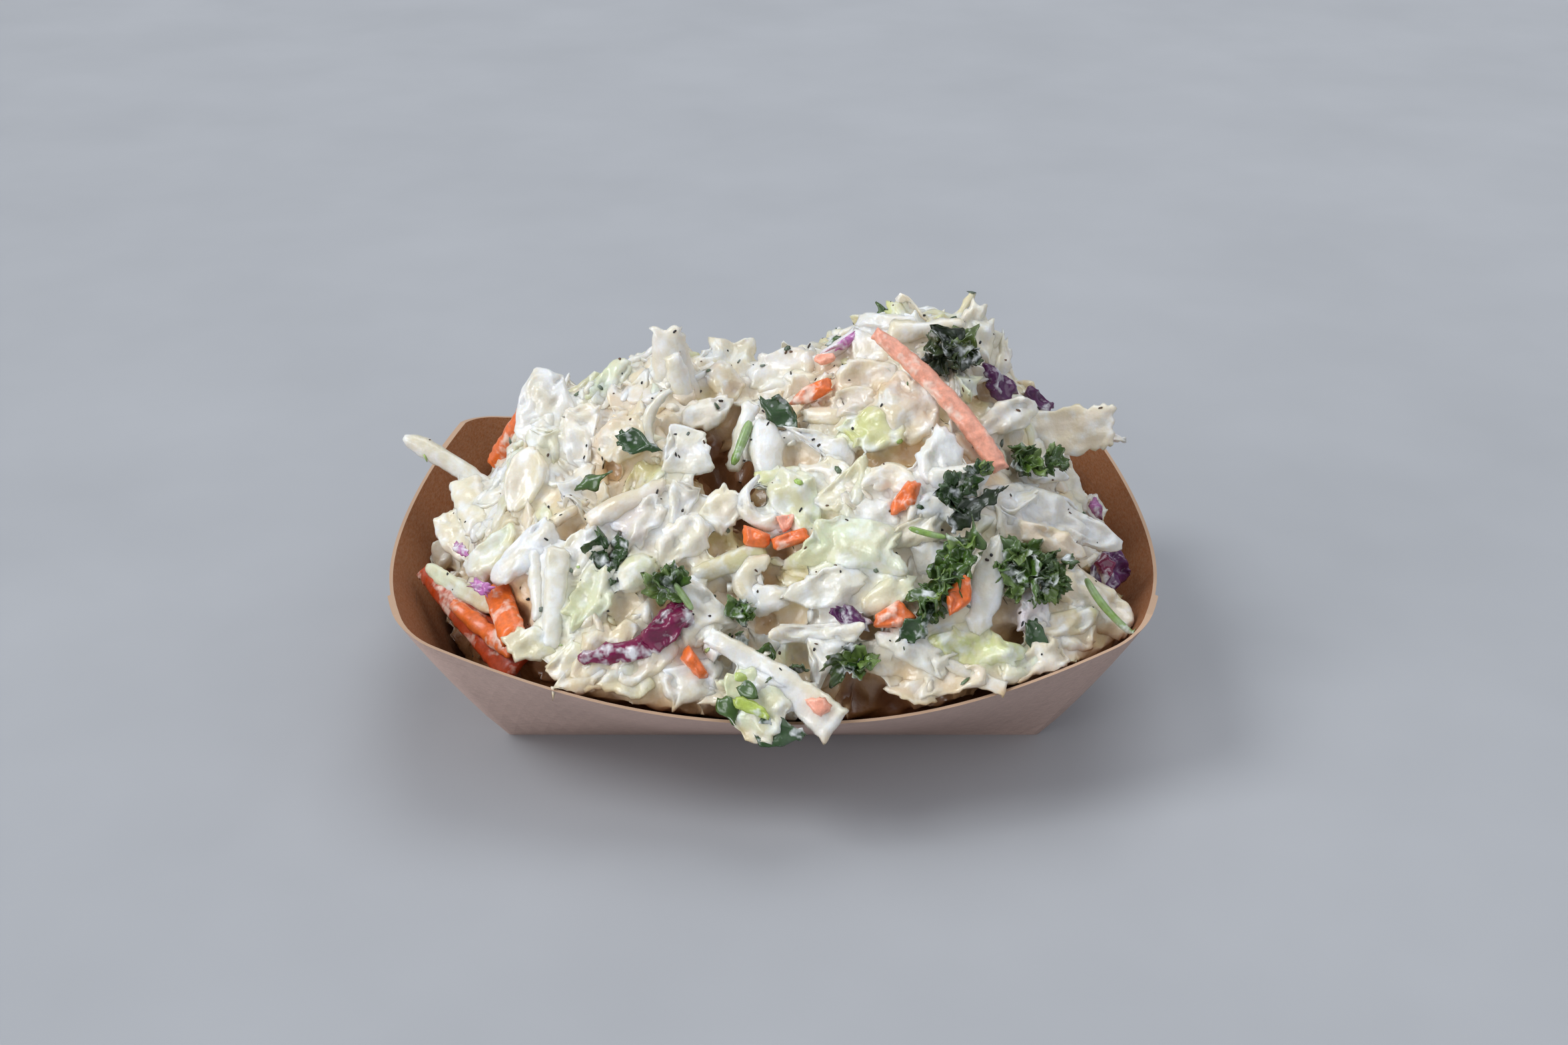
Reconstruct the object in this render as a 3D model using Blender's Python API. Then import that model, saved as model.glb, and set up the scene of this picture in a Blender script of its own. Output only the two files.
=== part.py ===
"""A small folded paperboard food tray, heaped with coleslaw.

Metres, +Z up, +X along the tray. The origin is the middle of the tray's underside.
"""

import math

import bpy
import numpy as np

# Tray: a flat base and four walls that lean out and bow under the load.
BOARD = 0.00048
BASE_LENGTH = 0.0908
BASE_WIDTH = 0.0496
WALL = 0.0334  # height of the walls, measured up the board
RIM_X = 0.0576  # where the rim's corners are, before rounding
RIM_Y = 0.0407
BOW_FRONT = 0.0108  # how far each wall's rim bows out past its corners
BOW_BACK = 0.0045
BOW_END = 0.0078
LOAD_SHARE = 0.53  # the front wall is pushed out furthest just right of its middle
FRONT_POWER = 2.3  # how flat the front wall's bow is at its middle
BASE_ROUND = 0.0012  # how far each corner's rounding reaches along the walls
RIM_ROUND = 0.0050
WALL_BULGE = 0.0006  # how far a wall swells between its base and its rim

# Flaps: the long walls wrap round the corners and are glued outside the end walls.
FLAP_SHARE = 0.11  # share of an end wall that each flap covers
FLAP_STEP = 0.006  # share of the wall over which the flap's cut edge steps down

# Heap: its crest runs along the tray, with two peaks, and its edge follows the walls.
GAP = 0.00035  # clearance between slaw and board
RIDGE_Y = 0.002
RIDGE = (  # (x, height) along the crest
    (-0.060, 0.020),
    (-0.052, 0.031),
    (-0.041, 0.047),
    (-0.030, 0.051),
    (-0.019, 0.057),
    (-0.004, 0.054),
    (0.008, 0.058),
    (0.020, 0.064),
    (0.032, 0.064),
    (0.042, 0.053),
    (0.051, 0.040),
    (0.060, 0.022),
)
SKIRT = 0.020  # height to which the heap falls at the walls
DOME = 1.6  # how full the heap's cross-section is
EDGE_RISE = 7  # how steeply the heap's edge stands up off the walls
CONTACT_FRONT = 0.93  # share of the wall's height that the slaw reaches
CONTACT_BACK = 0.70
CONTACT_LEFT = 0.50
CONTACT_RIGHT = 0.56
LUMPS = 170  # shreds that show as lumps on the heap
LUMP_LENGTH = (0.010, 0.024)
LUMP_WIDTH = (0.006, 0.010)
LUMP_HEIGHT = (0.0015, 0.0042)
SEED = 7

# Mesh resolution.
LONG_STEPS = 36
END_STEPS = 22
CORNER_STEPS = 4  # on each half of a corner's rounding
TRAY_LEVELS = 6
HEAP_LEVELS = 3
FOLD_ANGLE = 50  # faces that meet at more than this many degrees show a sharp fold
LEAD_IN = np.linspace(0.5, 1, CORNER_STEPS, endpoint=False)  # from a corner's middle to a wall
LEAD_OUT = np.linspace(0, 0.5, CORNER_STEPS, endpoint=False)[1:]  # and from a wall to the next


def material(name, colour, roughness):
    """A plain Principled material."""
    made = bpy.data.materials.new(name)
    made.use_nodes = True
    shader = made.node_tree.nodes["Principled BSDF"]
    shader.inputs["Base Color"].default_value = (*colour, 1.0)
    shader.inputs["Roughness"].default_value = roughness
    shader.inputs["Metallic"].default_value = 0.0
    return made


def wall_shares(is_end):
    """Places along a wall between its roundings; an end wall has one each side of a flap's edge."""
    if not is_end:
        return np.linspace(0, 1, LONG_STEPS)
    edges = [FLAP_SHARE, FLAP_SHARE + FLAP_STEP]
    edges += [1 - e for e in edges]
    even = np.linspace(0, 1, END_STEPS)
    return np.array(sorted([s for s in even if min(abs(s - e) for e in edges) > 0.015] + edges))


class Side:
    """One side of a plan outline, from corner a to corner b, bowed outwards."""

    def __init__(self, a, b, bow, rounding, middle=0.5, power=2.0):
        self.a = np.array(a)
        self.b = np.array(b)
        self.length = np.linalg.norm(self.b - self.a)
        self.along = (self.b - self.a) / self.length
        self.out = np.array([self.along[1], -self.along[0]])
        self.bow = bow
        self.cut = rounding / self.length
        self.middle = middle
        self.power = power

    def point(self, s):
        """The point at a share s of the way between the side's roundings."""
        share = self.cut + (1 - 2 * self.cut) * s
        span = self.middle if share < self.middle else 1 - self.middle
        bowed = self.bow * (1 - abs((share - self.middle) / span) ** self.power)
        return self.a + (self.b - self.a) * share + self.out * bowed


def outline(sides):
    """A closed plan outline with rounded corners, starting halfway round the front left corner."""
    points = []
    for k, side in enumerate(sides):
        before = sides[k - 1]
        after = sides[(k + 1) % 4]
        points += [bend(before.point(1), side.a, side.point(0), t) for t in LEAD_IN]
        points += [side.point(s) for s in wall_shares(k % 2 == 1)]
        points += [bend(side.point(1), side.b, after.point(0), t) for t in LEAD_OUT]
    return np.array(points)


def column_count(k):
    """How many columns of points side k has."""
    return len(LEAD_IN) + len(wall_shares(k % 2 == 1)) + len(LEAD_OUT)


def bend(start, tip, end, t):
    """A point on the rounding of a corner."""
    return (1 - t) ** 2 * start + 2 * t * (1 - t) * tip + t * t * end


def rectangle(x, y, bows, rounding, middle=0.5, power=2.0):
    """Four sides in order: front, right end, back, left end."""
    corners = [(-x, -y), (x, -y), (x, y), (-x, y)]
    sides = [Side(corners[k], corners[(k + 1) % 4], bows[k], rounding) for k in range(4)]
    sides[0].middle = middle
    sides[0].power = power
    return sides


class Walls:
    """The tray's walls as columns from the base outline up to the rim outline."""

    def __init__(self):
        bows = (BOW_FRONT, BOW_END, BOW_BACK, BOW_END)
        foot = rectangle(BASE_LENGTH / 2, BASE_WIDTH / 2, (0, 0, 0, 0), BASE_ROUND)
        rim = rectangle(RIM_X, RIM_Y, bows, RIM_ROUND, LOAD_SHARE, FRONT_POWER)
        self.foot = outline(foot)
        self.rim = outline(rim)
        ahead = np.roll(self.rim, -1, axis=0) - np.roll(self.rim, 1, axis=0)
        out = np.column_stack([ahead[:, 1], -ahead[:, 0]])
        self.out = out / np.linalg.norm(out, axis=1)[:, None]
        self.height = self.heights()
        self.across = BOARD * WALL / self.height  # the board's thickness, measured level

    def heights(self):
        """The rim's height: the board is equally tall all round, so it drops where it leans out."""
        past_end = np.abs(self.rim[:, 0]) - BASE_LENGTH / 2
        past_side = np.abs(self.rim[:, 1]) - BASE_WIDTH / 2
        is_end = np.repeat([False, True, False, True], [column_count(k) for k in range(4)])
        height = np.sqrt(WALL**2 - np.where(is_end, past_end, past_side) ** 2)
        columns = np.arange(len(height))
        flat = []
        for k in range(4):
            flat += [False] * len(LEAD_IN) + [True] * len(wall_shares(k % 2 == 1))
            flat += [False] * len(LEAD_OUT)
        return np.interp(columns, columns[flat], height[flat], period=len(height))

    def flap(self):
        """1 where a flap doubles the end walls' board, for each column, and 0 elsewhere."""
        shares = wall_shares(True)
        near = np.minimum(shares, 1 - shares) <= FLAP_SHARE + 1e-9
        long_wall = np.zeros(column_count(0))
        end_wall = np.concatenate([2 * LEAD_IN - 1, near * 1.0, 1 - 2 * LEAD_OUT])
        return np.concatenate([long_wall, end_wall, long_wall, end_wall])

    def at(self, t):
        """Points on the outer face at a share t of each column's height."""
        t = np.broadcast_to(t, self.height.shape)[:, None]
        swell = self.out * WALL_BULGE * 4 * t * (1 - t)
        flat = self.foot + (self.rim - self.foot) * t + swell
        return np.column_stack([flat, self.height * t[:, 0]])

    def inside(self, height, gap=0.0):
        """Points on the inner face, or clear of it by a gap, at each column's given height."""
        points = self.at(height / self.height)
        points[:, :2] -= self.out * (self.across + gap)[:, None]
        return points


def solid(verts, faces, name, finish):
    """An object of one closed mesh, shaded smooth between its folds."""
    mesh = bpy.data.meshes.new(name)
    mesh.from_pydata([tuple(v) for v in verts], [], faces)
    mesh.validate()
    mesh.shade_smooth()
    mesh.set_sharp_from_angle(angle=math.radians(FOLD_ANGLE))
    mesh.materials.append(finish)
    made = bpy.data.objects.new(name, mesh)
    bpy.context.scene.collection.objects.link(made)
    return made


def strips(rings):
    """Faces between successive rings of points, all of one length."""
    count = len(rings[0])
    faces = []
    for r in range(len(rings) - 1):
        for i in range(count):
            j = (i + 1) % count
            a, b = r * count, (r + 1) * count
            faces.append((a + i, a + j, b + j, b + i))
    return faces


def fan(verts, first, count, facing_up):
    """Faces that close a flat ring of points to its middle."""
    verts.append(np.mean(verts[first : first + count], axis=0))
    hub = len(verts) - 1
    faces = []
    for i in range(count):
        a, b = first + i, first + (i + 1) % count
        faces.append((a, b, hub) if facing_up else (b, a, hub))
    return faces


def paper_tray(walls, finish):
    """The folded tray: underside, outer walls with their flaps, cut rim, inner walls and floor."""
    lift = (walls.out.T * walls.across * walls.flap()).T
    rings = []
    for t in np.linspace(0, 1, TRAY_LEVELS + 1):
        ring = walls.at(t)
        ring[:, :2] += lift * min(1.0, t * TRAY_LEVELS)
        rings.append(ring)
    for t in np.linspace(1, 0, TRAY_LEVELS + 1):
        rings.append(walls.inside(np.maximum(walls.height * t, BOARD)))
    verts = [p for ring in rings for p in ring]
    count = len(rings[0])
    faces = strips(rings)
    faces += fan(verts, 0, count, facing_up=False)
    faces += fan(verts, (len(rings) - 1) * count, count, facing_up=True)
    return solid(verts, faces, "paper_tray", finish)


def ridge_height(x):
    """The crest's height at x, on a smooth curve through the ridge's points."""
    xs = np.array([p[0] for p in RIDGE])
    zs = np.array([p[1] for p in RIDGE])
    slope = np.gradient(zs, xs)
    x = np.clip(x, xs[0], xs[-1])
    i = np.clip(np.searchsorted(xs, x) - 1, 0, len(xs) - 2)
    h = xs[i + 1] - xs[i]
    t = (x - xs[i]) / h
    low = zs[i] * (2 * t**3 - 3 * t**2 + 1) + slope[i] * h * (t**3 - 2 * t**2 + t)
    high = zs[i + 1] * (3 * t**2 - 2 * t**3) + slope[i + 1] * h * (t**3 - t**2)
    return low + high


def heap_height(x, y):
    """The heap's smooth upper surface: a dome across the tray under the crest."""
    front = RIDGE_Y + RIM_Y + BOW_FRONT
    back = RIM_Y + BOW_BACK - RIDGE_Y
    q = np.abs(y - RIDGE_Y) / np.where(y < RIDGE_Y, front, back)
    return SKIRT + (ridge_height(x) - SKIRT) * (1 - np.clip(q, 0, 1) ** DOME)


def lump_height(x, y):
    """Shreds lying on the heap as overlapping long lumps, of which the highest shows."""
    rng = np.random.default_rng(SEED)
    top = np.zeros_like(x)
    for _ in range(LUMPS):
        centre_x = rng.uniform(-RIM_X, RIM_X)
        centre_y = rng.uniform(-RIM_Y, RIM_Y)
        turn = rng.uniform(0, math.pi)
        half_l = rng.uniform(*LUMP_LENGTH) / 2
        half_w = rng.uniform(*LUMP_WIDTH) / 2
        high = rng.uniform(*LUMP_HEIGHT)
        u = (x - centre_x) * math.cos(turn) + (y - centre_y) * math.sin(turn)
        v = (y - centre_y) * math.cos(turn) - (x - centre_x) * math.sin(turn)
        q = (u / half_l) ** 2 + (v / half_w) ** 2
        top = np.maximum(top, high * np.clip(1 - q, 0, 1))
    return top


def contact_share(walls):
    """How far up each wall the slaw lies, blended smoothly round the tray."""
    x = walls.rim[:, 0] / RIM_X
    y = walls.rim[:, 1] / RIM_Y
    weights = [np.clip(-y, 0, None) ** 2, np.clip(y, 0, None) ** 2]
    weights += [np.clip(-x, 0, None) ** 4, np.clip(x, 0, None) ** 4]
    levels = [CONTACT_FRONT, CONTACT_BACK, CONTACT_LEFT, CONTACT_RIGHT]
    return sum(w * level for w, level in zip(weights, levels)) / sum(weights)


def patch(edge, across, deep):
    """A grid of plan points filling a four-sided ring, with the ring itself as its border."""
    front = edge[: across + 1]
    right = edge[across : across + deep + 1]
    back = edge[across + deep : 2 * across + deep + 1][::-1]
    left = np.vstack([edge[2 * across + deep :], edge[:1]])[::-1]
    u = np.linspace(0, 1, across + 1)[None, :, None]
    v = np.linspace(0, 1, deep + 1)[:, None, None]
    ruled = (1 - v) * front[None] + v * back[None] + (1 - u) * left[:, None] + u * right[:, None]
    corners = (1 - u) * (1 - v) * front[0] + u * (1 - v) * front[-1]
    corners = corners + (1 - u) * v * back[0] + u * v * back[-1]
    return ruled - corners


def slaw_heap(walls, finish):
    """The heap: it fills the tray up to the contact line and rises from there to two peaks."""
    floor = np.full(len(walls.foot), BOARD + GAP)
    contact = walls.height * contact_share(walls)
    rings = []
    for t in np.linspace(0, 1, HEAP_LEVELS + 1):
        rings.append(walls.inside(floor + (contact - floor) * t, GAP))
    verts = [p for ring in rings for p in ring]
    count = len(rings[0])
    faces = strips(rings)
    faces += fan(verts, 0, count, facing_up=False)

    across = column_count(0)
    deep = column_count(1)
    grid = patch(rings[-1], across, deep)
    x, y, z_edge = grid[..., 0], grid[..., 1], grid[..., 2]
    u = np.linspace(-1, 1, across + 1)[None, :]
    v = np.linspace(-1, 1, deep + 1)[:, None]
    inward = (1 - np.abs(u) ** EDGE_RISE) * (1 - np.abs(v) ** EDGE_RISE)
    top = heap_height(x, y) + lump_height(x, y)
    z = z_edge + (top - z_edge) * inward

    rim = (len(rings) - 1) * count
    index = np.zeros((deep + 1, across + 1), int)
    index[0] = rim + np.arange(across + 1)
    index[:, -1] = rim + across + np.arange(deep + 1)
    index[-1] = rim + across + deep + np.arange(across, -1, -1)
    index[1:, 0] = rim + count - np.arange(1, deep + 1)
    for j in range(1, deep):
        for i in range(1, across):
            index[j, i] = len(verts)
            verts.append(np.array([x[j, i], y[j, i], z[j, i]]))
    for j in range(deep):
        for i in range(across):
            corners = (index[j, i], index[j, i + 1], index[j + 1, i + 1], index[j + 1, i])
            faces.append(tuple(int(c) for c in corners))
    return solid(verts, faces, "slaw_heap", finish)


for old in list(bpy.data.objects):
    bpy.data.objects.remove(old)

board = material("kraft_board", (0.42, 0.25, 0.13), 0.8)
slaw = material("dressed_slaw", (0.82, 0.76, 0.56), 0.45)
tray_walls = Walls()
paper_tray(tray_walls, board)
slaw_heap(tray_walls, slaw)
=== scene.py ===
"""Looks of a portion of coleslaw, heaped in a small folded paperboard tray.

Lengths are in millimetres, until a mesh or a place is handed to Blender in metres.
The tray's long sides face -Y (the front) and +Y, and +Z is up.
"""

import math
import time

import bpy
import numpy as np
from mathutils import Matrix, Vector
from mathutils.bvhtree import BVHTree
from mathutils.kdtree import KDTree


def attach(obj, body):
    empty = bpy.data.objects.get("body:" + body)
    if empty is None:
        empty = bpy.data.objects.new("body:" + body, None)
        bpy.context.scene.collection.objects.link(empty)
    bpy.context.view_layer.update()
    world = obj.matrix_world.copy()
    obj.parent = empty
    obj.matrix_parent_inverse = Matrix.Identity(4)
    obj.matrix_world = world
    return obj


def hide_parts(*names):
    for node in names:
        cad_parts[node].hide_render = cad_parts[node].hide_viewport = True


MM = 0.001
FRONT_UP = np.array([0, -math.cos(math.radians(28)), math.sin(math.radians(28))])

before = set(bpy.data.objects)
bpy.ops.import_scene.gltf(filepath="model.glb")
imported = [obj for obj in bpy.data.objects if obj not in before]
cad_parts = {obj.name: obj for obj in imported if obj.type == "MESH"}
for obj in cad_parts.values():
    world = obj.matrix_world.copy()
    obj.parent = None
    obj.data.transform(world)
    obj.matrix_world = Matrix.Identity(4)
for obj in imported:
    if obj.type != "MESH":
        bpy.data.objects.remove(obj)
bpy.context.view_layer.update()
rng = np.random.default_rng(41)
start = time.time()


# ---------------------------------------------------------------- plan grids of heights

STEP = 0.5
LEFT, RIGHT = -80.0, 80.0
FRONT, BACK = -66.0, 66.0
ACROSS = int((RIGHT - LEFT) / STEP) + 1
DEEP = int((BACK - FRONT) / STEP) + 1
NOTHING = -60.0  # height where there is neither tray nor slaw


def node_tree(name):
    """A ray-casting tree of a CAD node, in millimetres."""
    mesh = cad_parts[name].data
    verts = [v.co / MM for v in mesh.vertices]
    return BVHTree.FromPolygons(verts, [tuple(p.vertices) for p in mesh.polygons])


def height_map(tree):
    """The height of a node's upper surface over the plan grid."""
    down = Vector((0, 0, -1))
    heights = np.full((DEEP, ACROSS), NOTHING)
    for j in range(DEEP):
        for i in range(ACROSS):
            hit = tree.ray_cast(Vector((LEFT + i * STEP, FRONT + j * STEP, 200)), down)[0]
            if hit is not None:
                heights[j, i] = hit.z
    return heights


def cells(x, y):
    """Rows and columns of the grid at plan places."""
    i = np.clip(np.rint((np.asarray(x) - LEFT) / STEP), 0, ACROSS - 1).astype(int)
    j = np.clip(np.rint((np.asarray(y) - FRONT) / STEP), 0, DEEP - 1).astype(int)
    return j, i


def blur(field, size):
    """A Gaussian blur of a grid, of the given size in millimetres."""
    fx = np.fft.rfftfreq(ACROSS, STEP)
    fy = np.fft.fftfreq(DEEP, STEP)[:, None]
    fade = np.exp(-2 * (math.pi * size) ** 2 * (fx**2 + fy**2))
    return np.fft.irfft2(np.fft.rfft2(field) * fade, field.shape)


def heap_blur(field, size):
    """A blur of the heights over the heap that takes nothing from outside the heap."""
    wide = blur(np.where(in_heap, field, 0), 3 * size) / np.maximum(
        blur(in_heap * 1.0, 3 * size), 1e-3
    )
    weight = blur(in_heap * 1.0, size)
    near = blur(np.where(in_heap, field, 0), size) / np.maximum(weight, 1e-3)
    return np.where(weight > 0.02, near, np.where(weight > 1e-3, near, wide))


tray_floor = height_map(node_tree("paper_tray"))
heap_top = height_map(node_tree("slaw_heap"))
in_tray = tray_floor > NOTHING
in_heap = heap_top > NOTHING
surface = heap_blur(heap_top, 2.5)  # the heap's general shape
slope_y, slope_x = np.gradient(surface, STEP)

# Hollows between the pieces, where one sees deeper: x, y, depth, radius.
HOLLOWS = (
    (-56, -27, 14, 8),
    (-49, -37, 13, 8),
    (-61, -17, 10, 5),
    (-10.5, -13, 11, 5),
    (-8, -19, 11, 5),
    (-4.5, -24.5, 8, 4),
    (13, -50, 13, 4.5),
    (18.5, -50, 14, 5.5),
    (39, -41, 7, 4),
    (-37, -41, 7, 4),
    (-2, -36, 7, 3.5),
    (-15, -38, 5, 3),
    (15, -25, 4, 4),
    (20, -24, 5, 4),
    (36, -6, 4, 4),
    (-25, -20, 5, 4),
    (-30, 25, 8, 6),
    (5, 30, 8, 7),
    (38, 22, 8, 6),
    (-8, 20, 7, 5),
    (56, 12, 6, 6),
)
plan_x, plan_y = np.meshgrid(
    np.linspace(LEFT, RIGHT, ACROSS), np.linspace(FRONT, BACK, DEEP)
)
wanted = surface.copy()
for x, y, depth, radius in HOLLOWS:
    wanted -= depth * np.exp(-((plan_x - x) ** 2 + (plan_y - y) ** 2) / (2 * (radius / 1.5) ** 2))


def normal_at(x, y, face=0.0):
    """The heap's outward direction at a plan place, turned by a share towards the front."""
    j, i = cells(x, y)
    n = np.array([-slope_x[j, i], -slope_y[j, i], 1.0])
    n = (1 - face) * n / np.linalg.norm(n) + face * FRONT_UP
    return n / np.linalg.norm(n)


# ---------------------------------------------------------------- batches of small meshes


class Batch:
    """Many small closed meshes, gathered to become one object."""

    def __init__(self):
        self.parts = []

    def add(self, points, quads, tris, tint):
        """Takes in a piece: its points, its faces and the colour of each point or of all."""
        colours = np.broadcast_to(np.asarray(tint, float), (len(points), 3))
        self.parts.append((points, quads, tris, colours))

    def points(self):
        return np.vstack([part[0] for part in self.parts])

    def tints(self):
        return np.vstack([part[3] for part in self.parts])

    def mesh(self, name):
        points = self.points() * MM
        first = np.cumsum([0] + [len(part[0]) for part in self.parts])
        quads = np.vstack([part[1] + k for part, k in zip(self.parts, first)])
        tris = np.vstack([part[2] + k for part, k in zip(self.parts, first)])
        made = bpy.data.meshes.new(name)
        made.vertices.add(len(points))
        made.vertices.foreach_set("co", points.ravel())
        made.loops.add(quads.size + tris.size)
        made.loops.foreach_set("vertex_index", np.concatenate([quads.ravel(), tris.ravel()]))
        made.polygons.add(len(quads) + len(tris))
        starts = np.concatenate(
            [np.arange(len(quads)) * 4, quads.size + np.arange(len(tris)) * 3]
        )
        made.polygons.foreach_set("loop_start", starts)
        made.update(calc_edges=True)
        made.validate()
        put_tint(made, self.tints())
        return made

    def thing(self, name):
        return link(bpy.data.objects.new(name, self.mesh(name)))


def link(thing):
    bpy.context.scene.collection.objects.link(thing)
    return thing


def put_tint(mesh, colours):
    """Stores each point's own colour, for the materials to read."""
    layer = mesh.color_attributes.new("tint", "FLOAT_COLOR", "POINT")
    rgba = np.ones((len(mesh.vertices), 4), np.float32)
    rgba[:, :3] = colours
    layer.data.foreach_set("color", rgba.ravel())


def linear(rgb):
    """Display colour, 0 to 255, to scene linear."""
    c = np.asarray(rgb, float) / 255
    return np.where(c <= 0.04045, c / 12.92, ((c + 0.055) / 1.055) ** 2.4)


NO_TRIS = np.zeros((0, 3), int)
grids = {}


def double_grid(along, across):
    """Quads of two sheets of points that share their border points.

    The upper sheet's points come first, then the lower sheet's inner points.
    """
    key = (along, across)
    if key not in grids:
        top = np.arange(along * across).reshape(along, across)
        low = top.copy()
        inner = (along - 2) * (across - 2)
        low[1:-1, 1:-1] = top.size + np.arange(inner).reshape(along - 2, across - 2)
        faces = []
        for sheet, turn in ((top, 1), (low, -1)):
            quad = [sheet[:-1, :-1], sheet[1:, :-1], sheet[1:, 1:], sheet[:-1, 1:]]
            faces.append(np.stack(quad, axis=-1).reshape(-1, 4)[:, ::turn])
        grids[key] = np.vstack(faces)
    return grids[key]


# ---------------------------------------------------------------- shapes of the pieces


def spaced(count):
    """Numbers from -1 to 1, closer together at both ends."""
    even = np.linspace(-1, 1, count)
    return 0.35 * even + 0.65 * np.sin(even * math.pi / 2)


def rough(*shape, times=1):
    """Random values of about unit size, each blended a little with its neighbours."""
    out = rng.normal(0, 1, shape)
    for _ in range(times):
        for axis in range(len(shape)):
            out = (np.roll(out, 1, axis) + 2 * out + np.roll(out, -1, axis)) / 2.83
    return out


def torn_outline(turns, corners, fullest, deepest):
    """The edge of a torn flake, by the turn round it: corners, and full or hollow sides."""
    at = (np.arange(corners) + rng.uniform(0.05, 0.85, corners)) * 2 * math.pi / corners
    tips = rng.uniform(0.86, 1.16, corners)[:, None] * np.column_stack([np.cos(at), np.sin(at)])
    hollow = rng.uniform(-fullest, deepest, corners)
    following = np.searchsorted(at, turns) % corners
    before = (following - 1) % corners
    span = (at[following] - at[before]) % (2 * math.pi)
    share = (((turns - at[before]) % (2 * math.pi)) / span)[..., None]
    edge = (1 - share) * tips[before] + share * tips[following]
    return edge * (1 - hollow[before][..., None] * np.sin(math.pi * share))


# The fewest and most corners of a torn flake, how full and how hollow its sides are at most,
# and how steep its crease is.
FLAKES = {
    "slab": (4, 6, 0.3, 0.0, 0.3), "wedge": (3, 4, 0.3, 0.05, 0.3), "petal": (4, 5, 0.3, 0.05, 0.45),
    "leaf": (6, 9, 0.3, 0.22, 0.6), "chip": (4, 5, 0.12, 0.0, 0.2),
}
PROFILES = {
    "board": lambda t, taper: (1 + taper * t) * (1 - 0.15 * t**4),
    "spear": lambda t, taper: 0.55 + 0.38 * (t + 1),
    "strip": lambda t, taper: (1 + taper * t) * (1 - 0.28 * t**6),
    "stick": lambda t, taper: (1 + taper * t) * (1 - 0.7 * np.abs(t) ** 7),
    "oval": lambda t, taper: (1 + taper * t) * np.sqrt(1.02 - t**2),
    "blade": lambda t, taper: 1.45 * (1.02 - t) ** 0.9 * (1.1 + t) ** 0.5 / 1.6,
}


def flake(form, length, width, thick, ragged, relief, cell):
    """A torn piece lying flat: its points and quads."""
    fewest, most, fullest, deepest, steepest = FLAKES[form]
    along = max(10, int(length / cell))
    across = max(8, int(width / cell) + 3)
    t, s = np.meshgrid(spaced(along), spaced(across), indexing="ij")
    turns = np.arctan2(s, t) % (2 * math.pi)
    edge = torn_outline(turns, rng.integers(fewest, most + 1), fullest, deepest)
    jagged = np.interp(turns * 60 / (2 * math.pi), np.arange(61), ragged * rough(61))
    out = np.maximum(np.abs(t), np.abs(s))
    jagged = 1 + jagged * out**6 * 0.35 / min(length, width) * 4
    x = length / 2 * out * edge[..., 0] * jagged
    y = width / 2 * out * edge[..., 1] * jagged
    inset = np.clip((1 - out) * width / 2 / (thick * rng.uniform(0.3, 0.65)), 0, 1)
    deep = thick / 2 * np.sqrt(1 - (1 - inset) ** 2) * (1 + rng.uniform(-0.35, 0.35) * t)
    deep *= 0.66 + 0.34 * np.sqrt(1 - 0.95 * out**2)
    waves = relief * rough(2, along, across, times=3) * inset
    heading = rng.uniform(0, math.pi)
    aside = x * math.sin(heading) - y * math.cos(heading) + rng.uniform(-0.2, 0.2) * width
    crease = rng.uniform(-steepest, steepest) * np.sqrt(aside**2 + 0.3)
    top = np.stack([x, y, crease + deep + waves[0]], axis=-1)
    low = np.stack([x, y, crease - deep + waves[1]], axis=-1)
    points = np.vstack([top.reshape(-1, 3), low[1:-1, 1:-1].reshape(-1, 3)])
    points[:, 2] -= points[:, 2].mean()
    return points, double_grid(along, across)


def cut(form, length, width, thick, ragged=0.35, relief=0.12, cell=0.8):
    """A cut piece lying flat along X: its points and quads."""
    if form in FLAKES:
        return flake(form, length, width, thick, ragged, relief, cell)
    along = max(8, int(length / cell))
    across = max(6, int(width / cell) + 2)
    t, s = np.meshgrid(spaced(along), spaced(across), indexing="ij")
    half = PROFILES[form](t, rng.uniform(-0.22, 0.22)) * width / 2
    slant = rng.uniform(-0.25, 0.25, 2)
    x = length / 2 * t + half * s * np.where(t > 0, slant[0], slant[1]) * t**2
    y = half * s
    half = half * (1 + 0.09 * rough(along, times=3))[:, None]
    torn = ragged * rough(4, max(along, across))
    y += np.where(s > 0, torn[0, :along, None], torn[1, :along, None]) * s**5
    x += np.where(t > 0, torn[2, None, :across], torn[3, None, :across]) * t**5
    edge = np.minimum((1 - np.abs(s)) * half, (1 - np.abs(t)) * length / 2)
    inset = np.clip(edge / (thick * rng.uniform(0.5, 1.1)), 0, 1)
    deep = thick / 2 * np.sqrt(1 - (1 - inset) ** 2) * (1 + rng.uniform(-0.3, 0.3) * t)
    waves = relief * rough(2, along, across, times=2) * inset
    ribs = relief * np.sin(y * rng.uniform(1.8, 3.0) + rng.uniform(0, 6)) * inset
    top = np.stack([x, y, deep + waves[0] + ribs], axis=-1)
    low = np.stack([x, y, -deep + waves[1]], axis=-1)
    points = np.vstack([top.reshape(-1, 3), low[1:-1, 1:-1].reshape(-1, 3)])
    return points, double_grid(along, across)


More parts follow.
